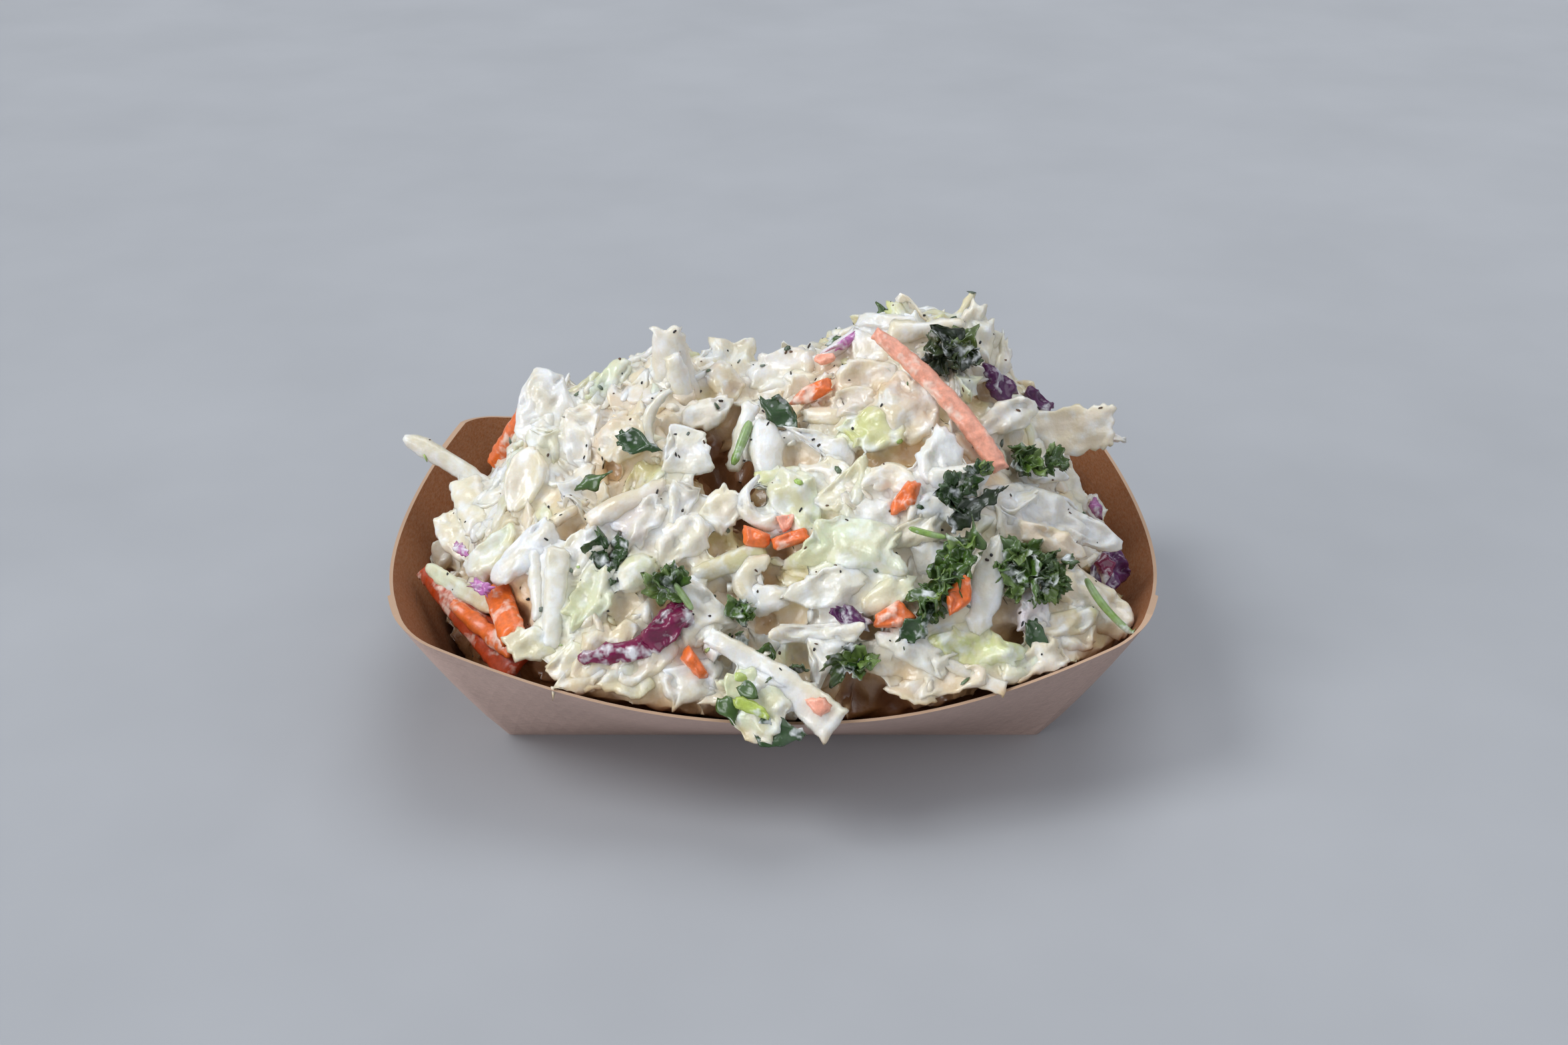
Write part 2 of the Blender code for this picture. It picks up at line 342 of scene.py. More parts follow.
def bent(points, curl=0.0, cup=0.0, arc=0.0, twist=0.0, wave=0.0):
    """Bends a flat piece: curl along its length, cup across it and arc sideways (all 1/mm)."""
    p = points.copy()
    if wave:
        p[:, 2] += wave * np.sin(p[:, 0] * 0.6 + rng.uniform(0, 6)) * np.cos(
            p[:, 1] * 0.6 + rng.uniform(0, 6)
        )
    for axis, out, k in ((1, 2, cup), (0, 2, curl), (0, 1, arc)):
        if abs(k) > 1e-4:
            turn = p[:, axis] * k
            radius = 1 / k - p[:, out]
            p[:, axis] = radius * np.sin(turn)
            p[:, out] = 1 / k - radius * np.cos(turn)
    if twist:
        c, s = np.cos(p[:, 0] * twist), np.sin(p[:, 0] * twist)
        p[:, 1], p[:, 2] = c * p[:, 1] - s * p[:, 2], s * p[:, 1] + c * p[:, 2]
    return p


def spun(axis, degrees):
    """The matrix of a turn about axis 0, 1 or 2."""
    c, s = math.cos(math.radians(degrees)), math.sin(math.radians(degrees))
    out = np.eye(3)
    a, b = (axis + 1) % 3, (axis + 2) % 3
    out[a, a] = out[b, b] = c
    out[a, b], out[b, a] = -s, s
    return out


def laid(points, x, y, heading, face=0.0, rise=0.0, lift=0.0, roll=0.0):
    """Lays a piece on the heap at a plan place. Angles are in degrees: heading turns it from
    +X towards uphill, lift raises its far end, roll turns it about its own length."""
    n = normal_at(x, y, face)
    e1 = np.array([1.0, 0, 0]) - n * n[0]
    e1 /= np.linalg.norm(e1)
    basis = np.column_stack([e1, np.cross(n, e1), n])
    turn = basis @ spun(2, heading) @ spun(1, -lift) @ spun(0, roll)
    return points @ turn.T + np.array([x, y, surface[cells(x, y)]]) + n * rise


def between(points, a, b, roll=0.0):
    """Lays a piece from one place to another in space, its face turned to the front."""
    a, b = np.array(a, float), np.array(b, float)
    e1 = (b - a) / np.linalg.norm(b - a)
    n = FRONT_UP - e1 * (FRONT_UP @ e1)
    n /= np.linalg.norm(n)
    turn = np.column_stack([e1, np.cross(n, e1), n]) @ spun(0, roll)
    return points @ turn.T + (a + b) / 2


# ---------------------------------------------------------------- the pile


class Pile:
    """The heights that have been reached so far, on which further pieces come to lie."""

    def __init__(self, start):
        self.top = start.copy()
        self.smooth()

    def smooth(self):
        self.soft = heap_blur(self.top, 1.8)

    def drape(self, points, share):
        """Lets a limp piece follow, by a share, the surface below it."""
        j, i = cells(points[:, 0], points[:, 1])
        middle = cells(points[:, 0].mean(), points[:, 1].mean())
        bumps = (self.soft[j, i] - self.soft[middle]) - (surface[j, i] - surface[middle])
        points[:, 2] += share * np.clip(bumps, -4, 4)
        return points

    def settle(self, points, sink, share=0.3):
        """Lowers or lifts a piece until it lies on the pile, sunk in a little."""
        j, i = cells(points[:, 0], points[:, 1])
        points[:, 2] -= np.quantile(points[:, 2] - self.top[j, i], share) + sink
        return points

    def shows(self, points):
        """Whether a piece reaches the pile's present surface somewhere."""
        j, i = cells(points[:, 0], points[:, 1])
        return np.mean(points[:, 2] > self.top[j, i] - 1.3) > 0.04

    def cover(self, points):
        j, i = cells(points[:, 0], points[:, 1])
        for dj in (-1, 0, 1):
            for di in (-1, 0, 1):
                jj = np.clip(j + dj, 0, DEEP - 1)
                ii = np.clip(i + di, 0, ACROSS - 1)
                np.maximum.at(self.top, (jj, ii), points[:, 2])


CLEAR = 0.4


def off_the_walls(points):
    """Draws a piece in from the tray's walls, and lifts what is left off them."""
    for _ in range(5):
        j, i = cells(points[:, 0], points[:, 1])
        deep = np.where(in_tray[j, i], tray_floor[j, i] + CLEAR - points[:, 2], 6.0)
        deep = np.clip(deep, 0, None)
        if deep.max() < 0.5:
            break
        middle = (points[:, :2] * deep[:, None]).sum(axis=0) / deep.sum()
        inward = -middle / (np.linalg.norm(middle) + 1e-6)
        points[:, :2] += inward * min(deep.max(), 3.0) * 0.5
    return lifted(points)


def lifted(points):
    """Lifts what lies in the tray's board, or under its rim, out of it."""
    j, i = cells(points[:, 0], points[:, 1])
    low = in_tray[j, i] & (points[:, 2] < tray_floor[j, i] + CLEAR)
    points[low, 2] = tray_floor[j, i][low] + CLEAR
    return points


# ---------------------------------------------------------------- cabbage

WHITE = linear((238, 239, 240))
CREAM = linear((240, 233, 219))
BEIGE = linear((233, 216, 194))
GREEN = linear((216, 226, 190))
LIME = linear((206, 214, 138))
LILAC = linear((220, 213, 226))
VEIN = linear((226, 218, 178))
TINTS = np.array([WHITE, CREAM, BEIGE, GREEN, LIME])
TINT_SHARES = (0.36, 0.28, 0.22, 0.11, 0.03)


def shaded(points, tint, other=None):
    """A piece's colour: along it from its own tint to a neighbouring one, with pale veins."""
    if other is None:
        other = TINTS[rng.choice(len(TINTS), p=TINT_SHARES)]
    along, across = (points[:, axis] / (np.ptp(points[:, axis]) + 0.1) for axis in (0, 1))
    t = np.clip(along + 0.5 + rng.uniform(-0.3, 0.3), 0, 1)[:, None]
    colour = tint + (other - tint) * 0.65 * t
    spread = (across + 0.5) * 9 * (1 - 0.3 * along) + 1.5
    vein = np.clip(np.interp(spread, np.arange(14), rough(14)) + 0.3, 0, 1)[:, None]
    return (colour + (VEIN - colour) * 0.4 * vein) * rng.uniform(0.94, 1.02)


class Cabbage:
    """The pieces of cabbage, gathered by kind."""

    def __init__(self):
        self.under = Batch()
        self.chunks = Batch()
        self.flakes = Batch()
        self.leaves = Batch()
        self.strips = Batch()
        self.kinds = {
            "slab": self.chunks, "oval": self.chunks, "board": self.chunks, "wedge": self.flakes,
            "petal": self.flakes, "leaf": self.leaves, "strip": self.strips,
            "stick": self.strips, "spear": self.chunks,
        }

    def kind(self, form):
        return self.kinds[form]

    def whole(self):
        """All the cabbage in one batch."""
        out = Batch()
        for batch in (self.under, self.chunks, self.flakes, self.leaves, self.strips):
            out.parts += batch.parts
        return out

    def bury(self, pile):
        """Hands the pieces that lie hidden under others to the core."""
        for batch in (self.chunks, self.flakes, self.leaves, self.strips):
            shown = [part for part in batch.parts if pile.shows(part[0])]
            self.under.parts += [part for part in batch.parts if not pile.shows(part[0])]
            batch.parts = shown


def loose_piece():
    """A random piece of cabbage: its form, its points, its quads and how limp it is."""
    form = rng.choice(["slab", "leaf", "strip", "oval", "petal", "wedge"],
                      p=[0.26, 0.27, 0.16, 0.04, 0.15, 0.12])
    if form == "leaf":
        size = (rng.uniform(8, 17), rng.uniform(6, 11), rng.uniform(0.8, 1.3))
        flat, quads = cut(form, *size, ragged=0.6, relief=0.14)
        bend = dict(curl=rng.normal(0, 0.06), cup=rng.normal(0, 0.09), wave=0.5,
                    twist=rng.normal(0, 0.02))
        return form, bent(flat, **bend), quads, 0.8
    if form == "strip":
        size = (rng.uniform(9, 20), rng.uniform(1.8, 3.6), rng.uniform(1.2, 2.0))
        flat, quads = cut(form, *size, ragged=0.15, relief=0.07)
        bend = dict(curl=rng.normal(0, 0.035), arc=rng.normal(0, 0.03), twist=rng.normal(0, 0.03))
        return form, bent(flat, **bend), quads, 0.6
    length = rng.uniform(7, 16)
    size = (length, length * rng.uniform(0.5, 0.85), rng.uniform(1.0, 2.2))
    flat, quads = cut(form, *size, ragged=0.45, relief=0.12)
    bend = dict(curl=rng.normal(0, 0.04), cup=rng.normal(0, 0.05), wave=0.25,
                twist=rng.normal(0, 0.02))
    return form, bent(flat, **bend), quads, 0.5


def fill(pile, choose, want, count, tilt, sink, cap):
    """Drops loose pieces where the pile is furthest below the wanted height, pressing down
    those that would come to lie higher than the cap above it."""
    jj, ii = np.nonzero(in_heap)
    for k in range(count):
        if k % 8 == 0:
            pile.smooth()
        pick = rng.integers(0, len(jj), 40)
        lack = want[jj[pick], ii[pick]] - pile.top[jj[pick], ii[pick]]
        best = pick[np.argmax(lack)]
        if lack.max() < 0:
            continue
        x, y = LEFT + ii[best] * STEP, FRONT + jj[best] * STEP
        form, flat, quads, limp = loose_piece()
        tint = shaded(flat, TINTS[rng.choice(len(TINTS), p=TINT_SHARES)])
        points = laid(flat, x, y, rng.uniform(0, 360), 0.0, 0.0, rng.normal(0, tilt),
                      rng.normal(0, tilt))
        points = pile.drape(points, limp)
        points = pile.settle(points, sink)
        high = np.quantile(points[:, 2] - want[cells(points[:, 0], points[:, 1])], 0.8) - cap
        points[:, 2] -= max(high, 0)
        points = off_the_walls(points)
        pile.cover(points)
        choose(form).add(points, quads, NO_TRIS, tint)


# The pieces that stand out, by region. Each row: form, x, y, heading, length, width,
# thickness, turn towards the front, rise above the heap, colour, and bends if any.
SHOWN = [
    # at the left rim, and the shoulder above it
    ("slab", -37, -9, -80, 14, 5.0, 2.2, 0.8, 3, WHITE, dict(curl=0.03)),
    ("slab", -38, -4, 5, 6, 4.4, 3.4, 0.8, 4, WHITE, {}),
    ("petal", -31, -10, -95, 12, 6.4, 1.8, 0.7, 2, CREAM, dict(cup=-0.08)),
    ("slab", -24, -15, 35, 10, 6.5, 2.0, 0.4, 1, BEIGE, {}),
    ("slab", -26, -2, 10, 9, 5.2, 2.5, 0.7, 1, GREEN, {}),
    ("slab", -30, -3, 45, 6, 4.5, 2.5, 0.7, 1, WHITE, {}),
    ("oval", -40, -16, 70, 11, 6.8, 1.3, 0.4, 2, CREAM, dict(cup=0.12, wave=0.4)),
    ("slab", -56, 2, 40, 9, 7.0, 3.0, 0.3, 3, CREAM, dict(cup=-0.06)),
    ("slab", -53, 8, 70, 9, 5.4, 2.4, 0.4, 1, CREAM, {}),
    ("slab", -46, -23, 35, 10, 7.0, 2.2, 0.4, 1, WHITE, {}),
    ("slab", -39, -29, 40, 11, 7.5, 2.2, 0.4, 2, WHITE, dict(curl=-0.04)),
    ("strip", -23, -26, 25, 14, 3.4, 2.4, 0.3, 2, BEIGE, dict(curl=-0.02)),
    ("slab", -30, -31, 30, 9, 6.0, 2.0, 0.4, 2, WHITE, {}),
    ("strip", -32, -25, 30, 7, 2.0, 1.6, 0.3, 2, BEIGE, {}),
    ("leaf", -21, -29, 50, 8, 6.0, 1.4, 0.4, 1, LILAC, dict(cup=0.12)),
    # the left peak
    ("strip", -20, -13, 75, 12, 1.7, 1.6, 0.8, 3, WHITE, dict(arc=-0.16)),
    ("slab", -15, -19, -10, 11, 6.0, 2.2, 0.5, 2, WHITE, {}),
    ("leaf", -8, 3, 20, 10, 7.5, 2.0, 0.6, 1, CREAM, {}),
    ("slab", -9, -4, 35, 8, 6.0, 2.0, 0.5, 1, BEIGE, {}),
    ("slab", -10, -10, 45, 8, 5.0, 2.0, 0.4, 0, CREAM, {}),
    # the saddle and the right peak
    ("slab", 2, -1, 10, 10, 7.0, 3.0, 0.6, 2, WHITE, {}),
    ("strip", -5, -14, -105, 12, 3.0, 2.0, 0.5, 1, WHITE, {}),
    ("oval", -1, -17, -85, 10, 6.2, 4.0, 0.6, 2, WHITE, {}),
    ("wedge", 7, -18, -25, 10, 8.5, 2.0, 0.5, 2, WHITE, {}),
    ("strip", 9, -14, -5, 8, 3.0, 2.0, 0.4, 1, BEIGE, {}),
    ("strip", 1, -22, 10, 8, 3.4, 2.0, 0.4, 1, LIME, {}),
    ("petal", 4, -26, 95, 11, 7.0, 2.4, 0.4, 3, GREEN, dict(cup=-0.08)),
    ("petal", 11, -26, 45, 10, 7.0, 2.0, 0.4, 1, CREAM, dict(cup=0.08)),
    ("slab", -2, -28, -25, 12, 2.6, 1.8, 0.4, 2, WHITE, dict(arc=0.26)),
    ("slab", 15, -9, 10, 8, 6.0, 1.8, 0.5, 1, BEIGE, {}),
    ("slab", 14, -14, 5, 9, 6.0, 1.8, 0.5, 1, BEIGE, {}),
    ("slab", 22, -16, -60, 11, 7.7, 1.8, 0.5, 2, BEIGE, dict(wave=0.4)),
    ("leaf", 16, -19, 5, 11, 6.5, 1.5, 0.4, 1, LIME, {}),
    ("slab", 19, -1, -10, 9, 5.2, 3.0, 0.8, 3, WHITE, {}),
    ("slab", 21, 1, -60, 6, 2.6, 2.0, 0.8, 3, LIME, {}),
    ("strip", 25, -5, 5, 12, 3.2, 3.0, 0.6, 2, CREAM, {}),
    ("strip", 31, 4, 60, 9, 1.6, 1.6, 0.8, 2, GREEN, {}),
    ("petal", 32, -2, 65, 9, 4.0, 2.0, 0.8, 2, CREAM, {}),
    ("petal", 34, -3, 75, 9, 4.2, 2.0, 0.8, 2, CREAM, {}),
    ("petal", 37, -3, 70, 10, 3.6, 2.0, 0.8, 2, CREAM, {}),
    ("strip", 12, 0, 30, 10, 3.0, 2.0, 0.7, 2, LILAC, {}),
    ("slab", 16, -4, 160, 7, 4.0, 2.0, 0.6, 1, BEIGE, {}),
    # the right shoulder
    ("petal", 37, -14, 30, 12, 5.0, 2.0, 0.5, 2, CREAM, {}),
    ("slab", 26, -25, -75, 9, 6.0, 2.6, 0.5, 2, WHITE, {}),
    ("stick", 29, -27, 5, 10, 3.8, 2.6, 0.4, 2, WHITE, {}),
    ("slab", 20, -27, -35, 11, 3.6, 2.0, 0.4, 2, CREAM, dict(arc=-0.2)),
    ("slab", 26, -30, 5, 8, 4.0, 1.8, 0.4, 2, WHITE, {}),
    ("slab", 23, -32, 35, 8, 4.4, 1.8, 0.4, 1, CREAM, {}),
    ("slab", 50, -4, -60, 10, 8.0, 2.0, 0.4, 1, CREAM, {}),
    ("slab", 45, -12, 20, 9, 5.5, 2.0, 0.4, 1, WHITE, {}),
    ("wedge", 56, 8, -20, 9, 5.6, 1.8, 0.3, 2, LILAC, {}),
    ("slab", 44, -23, -8, 20, 8.5, 2.0, 0.4, 3, WHITE, dict(wave=0.5, cup=-0.04)),
    ("slab", 43, -28, -15, 10, 4.4, 2.2, 0.4, 4, BEIGE, {}),
    ("oval", 33, -37, 75, 16, 5.2, 3.0, 0.5, 3, WHITE, {}),
    ("slab", 51, -31, -8, 14, 8.0, 2.0, 0.3, 2, BEIGE, {}),
    ("slab", 41, -38, 10, 8, 5.5, 2.4, 0.4, 1, LILAC, {}),
    ("slab", 45, -38, 15, 10, 5.2, 2.2, 0.3, 1, BEIGE, {}),
    ("leaf", 32, -43, -10, 14, 6.0, 1.6, 0.4, 2, LIME, dict(wave=0.9)),
    ("slab", 23, -44, -25, 14, 4.8, 2.2, 0.4, 2, WHITE, {}),
    ("strip", 28, -40, 30, 16, 5.2, 2.4, 0.4, 1, CREAM, {}),
    # the middle of the front
    ("leaf", 12, -34, 10, 15, 7.5, 1.8, 0.4, 2, GREEN, dict(cup=-0.06)),
    ("leaf", 9, -37, 20, 9, 5.6, 1.8, 0.4, 3, WHITE, dict(wave=0.6)),
    ("strip", -4, -36, -60, 15, 3.0, 2.0, 0.4, 2, CREAM, dict(arc=0.3)),
    ("strip", -7, -33, 20, 12, 3.3, 2.0, 0.4, 2, BEIGE, {}),
    ("petal", -14, -25, 75, 9, 5.0, 2.0, 0.5, 2, WHITE, {}),
    ("slab", -8, -27, 45, 8, 6.0, 2.0, 0.4, 1, CREAM, {}),
    ("slab", -14, -31, 40, 9, 6.0, 2.0, 0.4, 1, CREAM, {}),
    ("slab", 18, -39, 35, 9, 4.0, 2.0, 0.4, 2, BEIGE, {}),
    ("slab", 7, -41, 5, 13, 5.0, 2.0, 0.5, 2, CREAM, dict(curl=0.1)),
    ("wedge", 8, -44, -130, 10, 6.6, 1.8, 0.4, 2, WHITE, {}),
    ("slab", 11, -26, -40, 12, 5.5, 2.0, 0.4, 0, CREAM, {}),
    ("slab", 16, -31, 20, 8, 5.0, 2.0, 0.4, 0, CREAM, {}),
    ("slab", 2, -29, -50, 9, 4.5, 2.0, 0.4, 0, WHITE, {}),
    # the lower left, along the rim
    ("strip", -34, -36, -93, 16, 3.8, 2.0, 0.5, 2, WHITE, {}),
    ("strip", -37, -34, -85, 12, 2.3, 1.6, 0.4, 1, CREAM, {}),
    ("leaf", -28, -37, 55, 9, 6.0, 1.6, 0.4, 2, GREEN, dict(wave=0.9)),
    ("oval", -21, -35, 40, 7, 5.2, 3.8, 0.5, 2, WHITE, {}),
    ("slab", -28, -40, 40, 10, 4.2, 2.0, 0.4, 1, CREAM, {}),
    ("slab", -11, -40, -60, 13, 8.0, 2.2, 0.5, 2, WHITE, dict(cup=-0.05)),
    ("slab", -38, -41, -5, 7, 4.6, 2.0, 0.4, 0, BEIGE, {}),
    ("wedge", -32, -43, 40, 7, 5.2, 2.0, 0.4, 1, BEIGE, {}),
    ("leaf", -26, -43, 45, 9, 6.6, 2.0, 0.4, 1, BEIGE, {}),
    ("slab", -19, -44, 25, 9, 5.4, 2.0, 0.4, 1, CREAM, {}),
    ("slab", -13, -46, 20, 10, 5.5, 2.0, 0.4, 1, WHITE, {}),
    ("slab", -1, -37, 10, 7, 4.6, 2.0, 0.3, 1, WHITE, {}),
    ("slab", 16, -44, 5, 9, 5.4, 2.0, 0.3, 0, BEIGE, {}),
    ("petal", -22.5, -46, 10, 8, 4.5, 1.6, 0.3, 0, CREAM, {}),
    ("slab", -30, -45.5, 15, 8, 4.2, 1.6, 0.3, 0, BEIGE, {}),
    ("slab", -7, -47.5, 0, 8, 4.0, 1.6, 0.3, 0, CREAM, {}),
    # the lower right, along the rim
    ("slab", 27, -47, 15, 9, 4.5, 1.8, 0.3, 1, CREAM, {}),
    ("strip", 31, -46, -25, 11, 2.6, 1.6, 0.4, 1, WHITE, dict(curl=0.05)),
    ("petal", 36, -44.5, 20, 9, 5.0, 1.6, 0.3, 1, CREAM, {}),
    ("leaf", 41, -43, 15, 10, 5.5, 1.4, 0.3, 1, BEIGE, dict(wave=0.8)),
    ("slab", 47, -39, 25, 8, 4.5, 1.8, 0.3, 0, CREAM, {}),
    ("slab", 22, -48, 0, 7, 3.6, 1.6, 0.3, 0, BEIGE, {}),
]

# Pieces that reach out of the heap. Each row: form, both ends, width, thickness, colour, bends.
REACHING = [
    ("stick", (-47, 3, 31), (-65, 10, 40), 3.4, 3.0, WHITE, dict(arc=0.01)),
    ("spear", (-9.5, -43.5, 32), (10.2, -53.8, 21.8), 4.7, 1.9, WHITE, dict(arc=-0.01, wave=0.3)),
    ("board", (35, -5, 45.6), (57, -5, 48.8), 8.0, 1.3, BEIGE, dict(wave=0.4)),
    ("slab", (-6, -46, 28), (3, -52.5, 24), 4.2, 2.0, WHITE, {}),
    ("leaf", (-7, -49, 26), (1.5, -55, 20.5), 9.5, 1.3, GREEN, dict(wave=0.7)),
    ("board", (-15, -6, 49), (-17.5, -4, 66), 6.8, 3.0, WHITE, dict(cup=-0.12)),
    ("slab", (-20, -9, 47), (-13, -12, 43), 8.0, 2.6, WHITE, dict(cup=-0.06)),
    ("strip", (-13.5, -8, 50), (-16.5, -6, 62), 3.6, 2.4, WHITE, {}),
    ("petal", (-41.5, 0, 58), (-33, -13, 43), 11.5, 1.8, WHITE, dict(cup=-0.08, wave=0.3)),
    ("board", (-33, -2, 54), (-27, -13, 43.5), 8.4, 1.6, CREAM, dict(cup=0.06, wave=0.4)),
    ("slab", (-58, 0, 30.5), (-52, -12, 27.5), 6.6, 2.6, CREAM, {}),
    ("board", (-54, 3, 34.5), (-50, -9, 31), 5.6, 3.0, CREAM, {}),
    ("stick", (-58.5, -15, 26.6), (-43, -33, 28.6), 3.0, 1.0, GREEN, dict(arc=0.01)),
    ("wedge", (52, 6, 45), (63, 10, 36), 5.0, 1.6, LILAC, {}),
]


def reaching_piece(cabbage, row):
    """One of the pieces that reach out of the heap."""
    form, a, b, width, thick, tint, bends = row
    length = np.linalg.norm(np.subtract(b, a))
    ragged = {"leaf": 0.5, "stick": 0.1, "strip": 0.15, "spear": 0.15}.get(form, 0.3)
    flat, quads = cut(form, length, width, thick, ragged, 0.08, 0.5)
    points = lifted(between(bent(flat, **bends), a, b))
    cabbage.kind(form).add(points, quads, NO_TRIS, shaded(flat, tint, CREAM))


BENDS = ("curl", "cup", "arc", "twist", "wave")


def shown_piece(pile, cabbage, row):
    """One of the pieces that stand out, set where it shows."""
    form, x, y, heading, length, width, thick, face, rise, tint, extra = row
    ragged = {"leaf": 0.6, "strip": 0.25, "stick": 0.15, "oval": 0.3}.get(form, 0.4)
    relief = {"strip": 0.1, "stick": 0.08, "oval": 0.12}.get(form, 0.12)
    scale = 1.22 if form in FLAKES else 1.0
    flat, quads = cut(form, length * scale, width * scale, thick, ragged, relief, 0.55)
    bends = {key: extra[key] for key in BENDS if key in extra}
    bends.setdefault("wave", 0.5 if form == "leaf" else 0.15)
    bends.setdefault("cup", rng.normal(0, 0.03))
    points = laid(bent(flat, **bends), x, y, heading, face, 0.6 * rise, extra.get("lift", 0),
                  extra.get("roll", 0))
    points = lifted(points)
    pile.cover(points)
    cabbage.kind(form).add(points, quads, NO_TRIS, shaded(flat, tint))


# ---------------------------------------------------------------- fused slaw


def evaluated(thing, name):
    """A mesh of a thing with its modifiers applied; the thing itself goes."""
    graph = bpy.context.evaluated_depsgraph_get()
    mesh = bpy.data.meshes.new_from_object(thing.evaluated_get(graph))
    mesh.name = name
    bpy.data.objects.remove(thing)
    return mesh


def clouds(size):
    """Noise for the relief of the pieces, with lumps of the given size."""
    texture = bpy.data.textures.new("lumps", "CLOUDS")
    texture.noise_scale = size * MM
    texture.noise_depth = 2
    return texture


def tear(thing, depth):
    """Gives the pieces a slightly lumpy face and uneven edges, up to depth millimetres."""
    for size, share in ((2.8, 1.0), (1.0, 0.45)):
        torn = thing.modifiers.new("torn", "DISPLACE")
        torn.texture = clouds(size)
        torn.texture_coords = "LOCAL"
        torn.strength = share * depth * MM
        torn.mid_level = 0.5


def thinned(thing, name, most):
    """The thing's mesh with at most so many triangles, fewest where it is flattest."""
    mesh = evaluated(thing, name)
    count = sum(len(p.vertices) - 2 for p in mesh.polygons)
    print("pieces", name, count, round(time.time() - start, 1))
    thing = link(bpy.data.objects.new(name, mesh))
    thinner = thing.modifiers.new("thinner", "DECIMATE")
    thinner.ratio = min(1.0, most / count)
    return evaluated(thing, name)


def loose(batch, name, depth, most):
    """The pieces as they are, each with its own crisp edges."""
    thing = batch.thing(name + "_parts")
    tear(thing, depth)
    return thinned(thing, name, most)


def fused(batch, name, voxel, web, most, inside=0.0):
    """Joins the pieces as the dressing does: one skin, with creases up to web wide filled,
    which lies the given distance inside the pieces' own faces."""
    thing = batch.thing(name + "_parts")
    for grow in (web, -web - inside):
        remesh = thing.modifiers.new("skin", "REMESH")
        remesh.mode = "VOXEL"
        remesh.voxel_size = voxel * MM
        swell = thing.modifiers.new("swell", "DISPLACE")
        swell.direction = "NORMAL"
        swell.mid_level = 0.0
        swell.strength = grow * MM
    tear(thing, 0.45)
    soften = thing.modifiers.new("soften", "SMOOTH")
    soften.factor = 0.5
    soften.iterations = 1
    return thinned(thing, name, most)


def mesh_points(mesh):
    co = np.empty(len(mesh.vertices) * 3, np.float32)
    mesh.vertices.foreach_get("co", co)
    return co.reshape(-1, 3) / MM


def keep_inside(mesh):
    """Lifts what reaches into the tray's board out of it."""
    points = lifted(mesh_points(mesh).astype(float))
    mesh.vertices.foreach_set("co", (points * MM).ravel())
    mesh.update()


def carry_tints(batch, mesh, times=2):
    """Gives each point of the fused skin the colour of the nearest piece, blended a little."""
    source = batch.points()
    tints = batch.tints()
    tree = KDTree(len(source))
    for k, p in enumerate(source.tolist()):
        tree.insert(p, k)
    tree.balance()
    nearest = [tree.find(p)[1] for p in mesh_points(mesh).tolist()]
    colours = tints[nearest]
    pairs = np.empty(len(mesh.edges) * 2, np.int32)
    mesh.edges.foreach_get("vertices", pairs)
    a, b = pairs.reshape(-1, 2).T
    for _ in range(times):
        total = colours.copy()
        share = np.ones(len(colours))
        for p, q in ((a, b), (b, a)):
            for k in range(3):
                total[:, k] += np.bincount(p, colours[q, k], len(colours))
            share += np.bincount(p, minlength=len(colours))
        colours = total / share[:, None]
    put_tint(mesh, colours)


def put_depth(mesh, pile):
    """Stores how deep in the heap each point lies, in millimetres, for the painted shade in the
    crevices.
    """
    level = 0.4 * heap_blur(pile.top, 1.2) + 0.6 * (surface + 1.0)
    p = mesh_points(mesh)
    j, i = cells(p[:, 0], p[:, 1])
    steep = 1 / np.sqrt(1 + slope_x[j, i] ** 2 + slope_y[j, i] ** 2)
    layer = mesh.attributes.new("deep", "FLOAT", "POINT")
    layer.data.foreach_set("value", ((level[j, i] - p[:, 2]) * steep).astype(np.float32))


# ---------------------------------------------------------------- carrot, red cabbage, herbs

ORANGE = linear((238, 112, 34))
PINKISH = linear((250, 172, 144))
RUST = linear((196, 66, 10))
MAGENTA = linear((122, 8, 66))
PLUM = linear((84, 18, 78))
PALE_PLUM = linear((186, 110, 170))
DEEP_LEAF = linear((30, 44, 12))
DARK_LEAF = linear((36, 68, 16))
LEAF = linear((62, 92, 24))
BRIGHT_LEAF = linear((156, 184, 84))
STEM = linear((128, 160, 72))
PALE_STEM = linear((178, 196, 84))

# Each row: x, y, heading, length, width, thickness, turn towards the front, rise, colour, bends.
CARROTS = [
    (27, -15, -48, 30, 3.2, 2.6, 0.75, 4.5, PINKISH, dict(arc=-0.012, curl=-0.004)),
    (7, -10, 25, 8, 3.2, 2.0, 0.5, 2, ORANGE, {}),
    (9, -3, 5, 4.5, 2.4, 2.0, 0.6, 2, PINKISH, {}),
    (-3, -30, -10, 6.5, 3.8, 2.4, 0.4, 2, ORANGE, {}),
    (3, -31, 10, 6, 3.8, 2.4, 0.4, 2, ORANGE, {}),
    (2, -28.5, 30, 5, 2.8, 2.0, 0.4, 2, PINKISH, {}),
    (21, -29, 55, 7, 3.4, 2.4, 0.4, 2, ORANGE, {}),
    (19, -41, 35, 7, 4.4, 2.6, 0.4, 3, ORANGE, dict(cup=0.1)),
    (28, -39, 65, 7, 4.2, 1.8, 0.4, 4, ORANGE, dict(curl=0.15)),
    (-12, -44, -45, 6, 4.8, 3.4, 0.4, 2, ORANGE, {}),
]
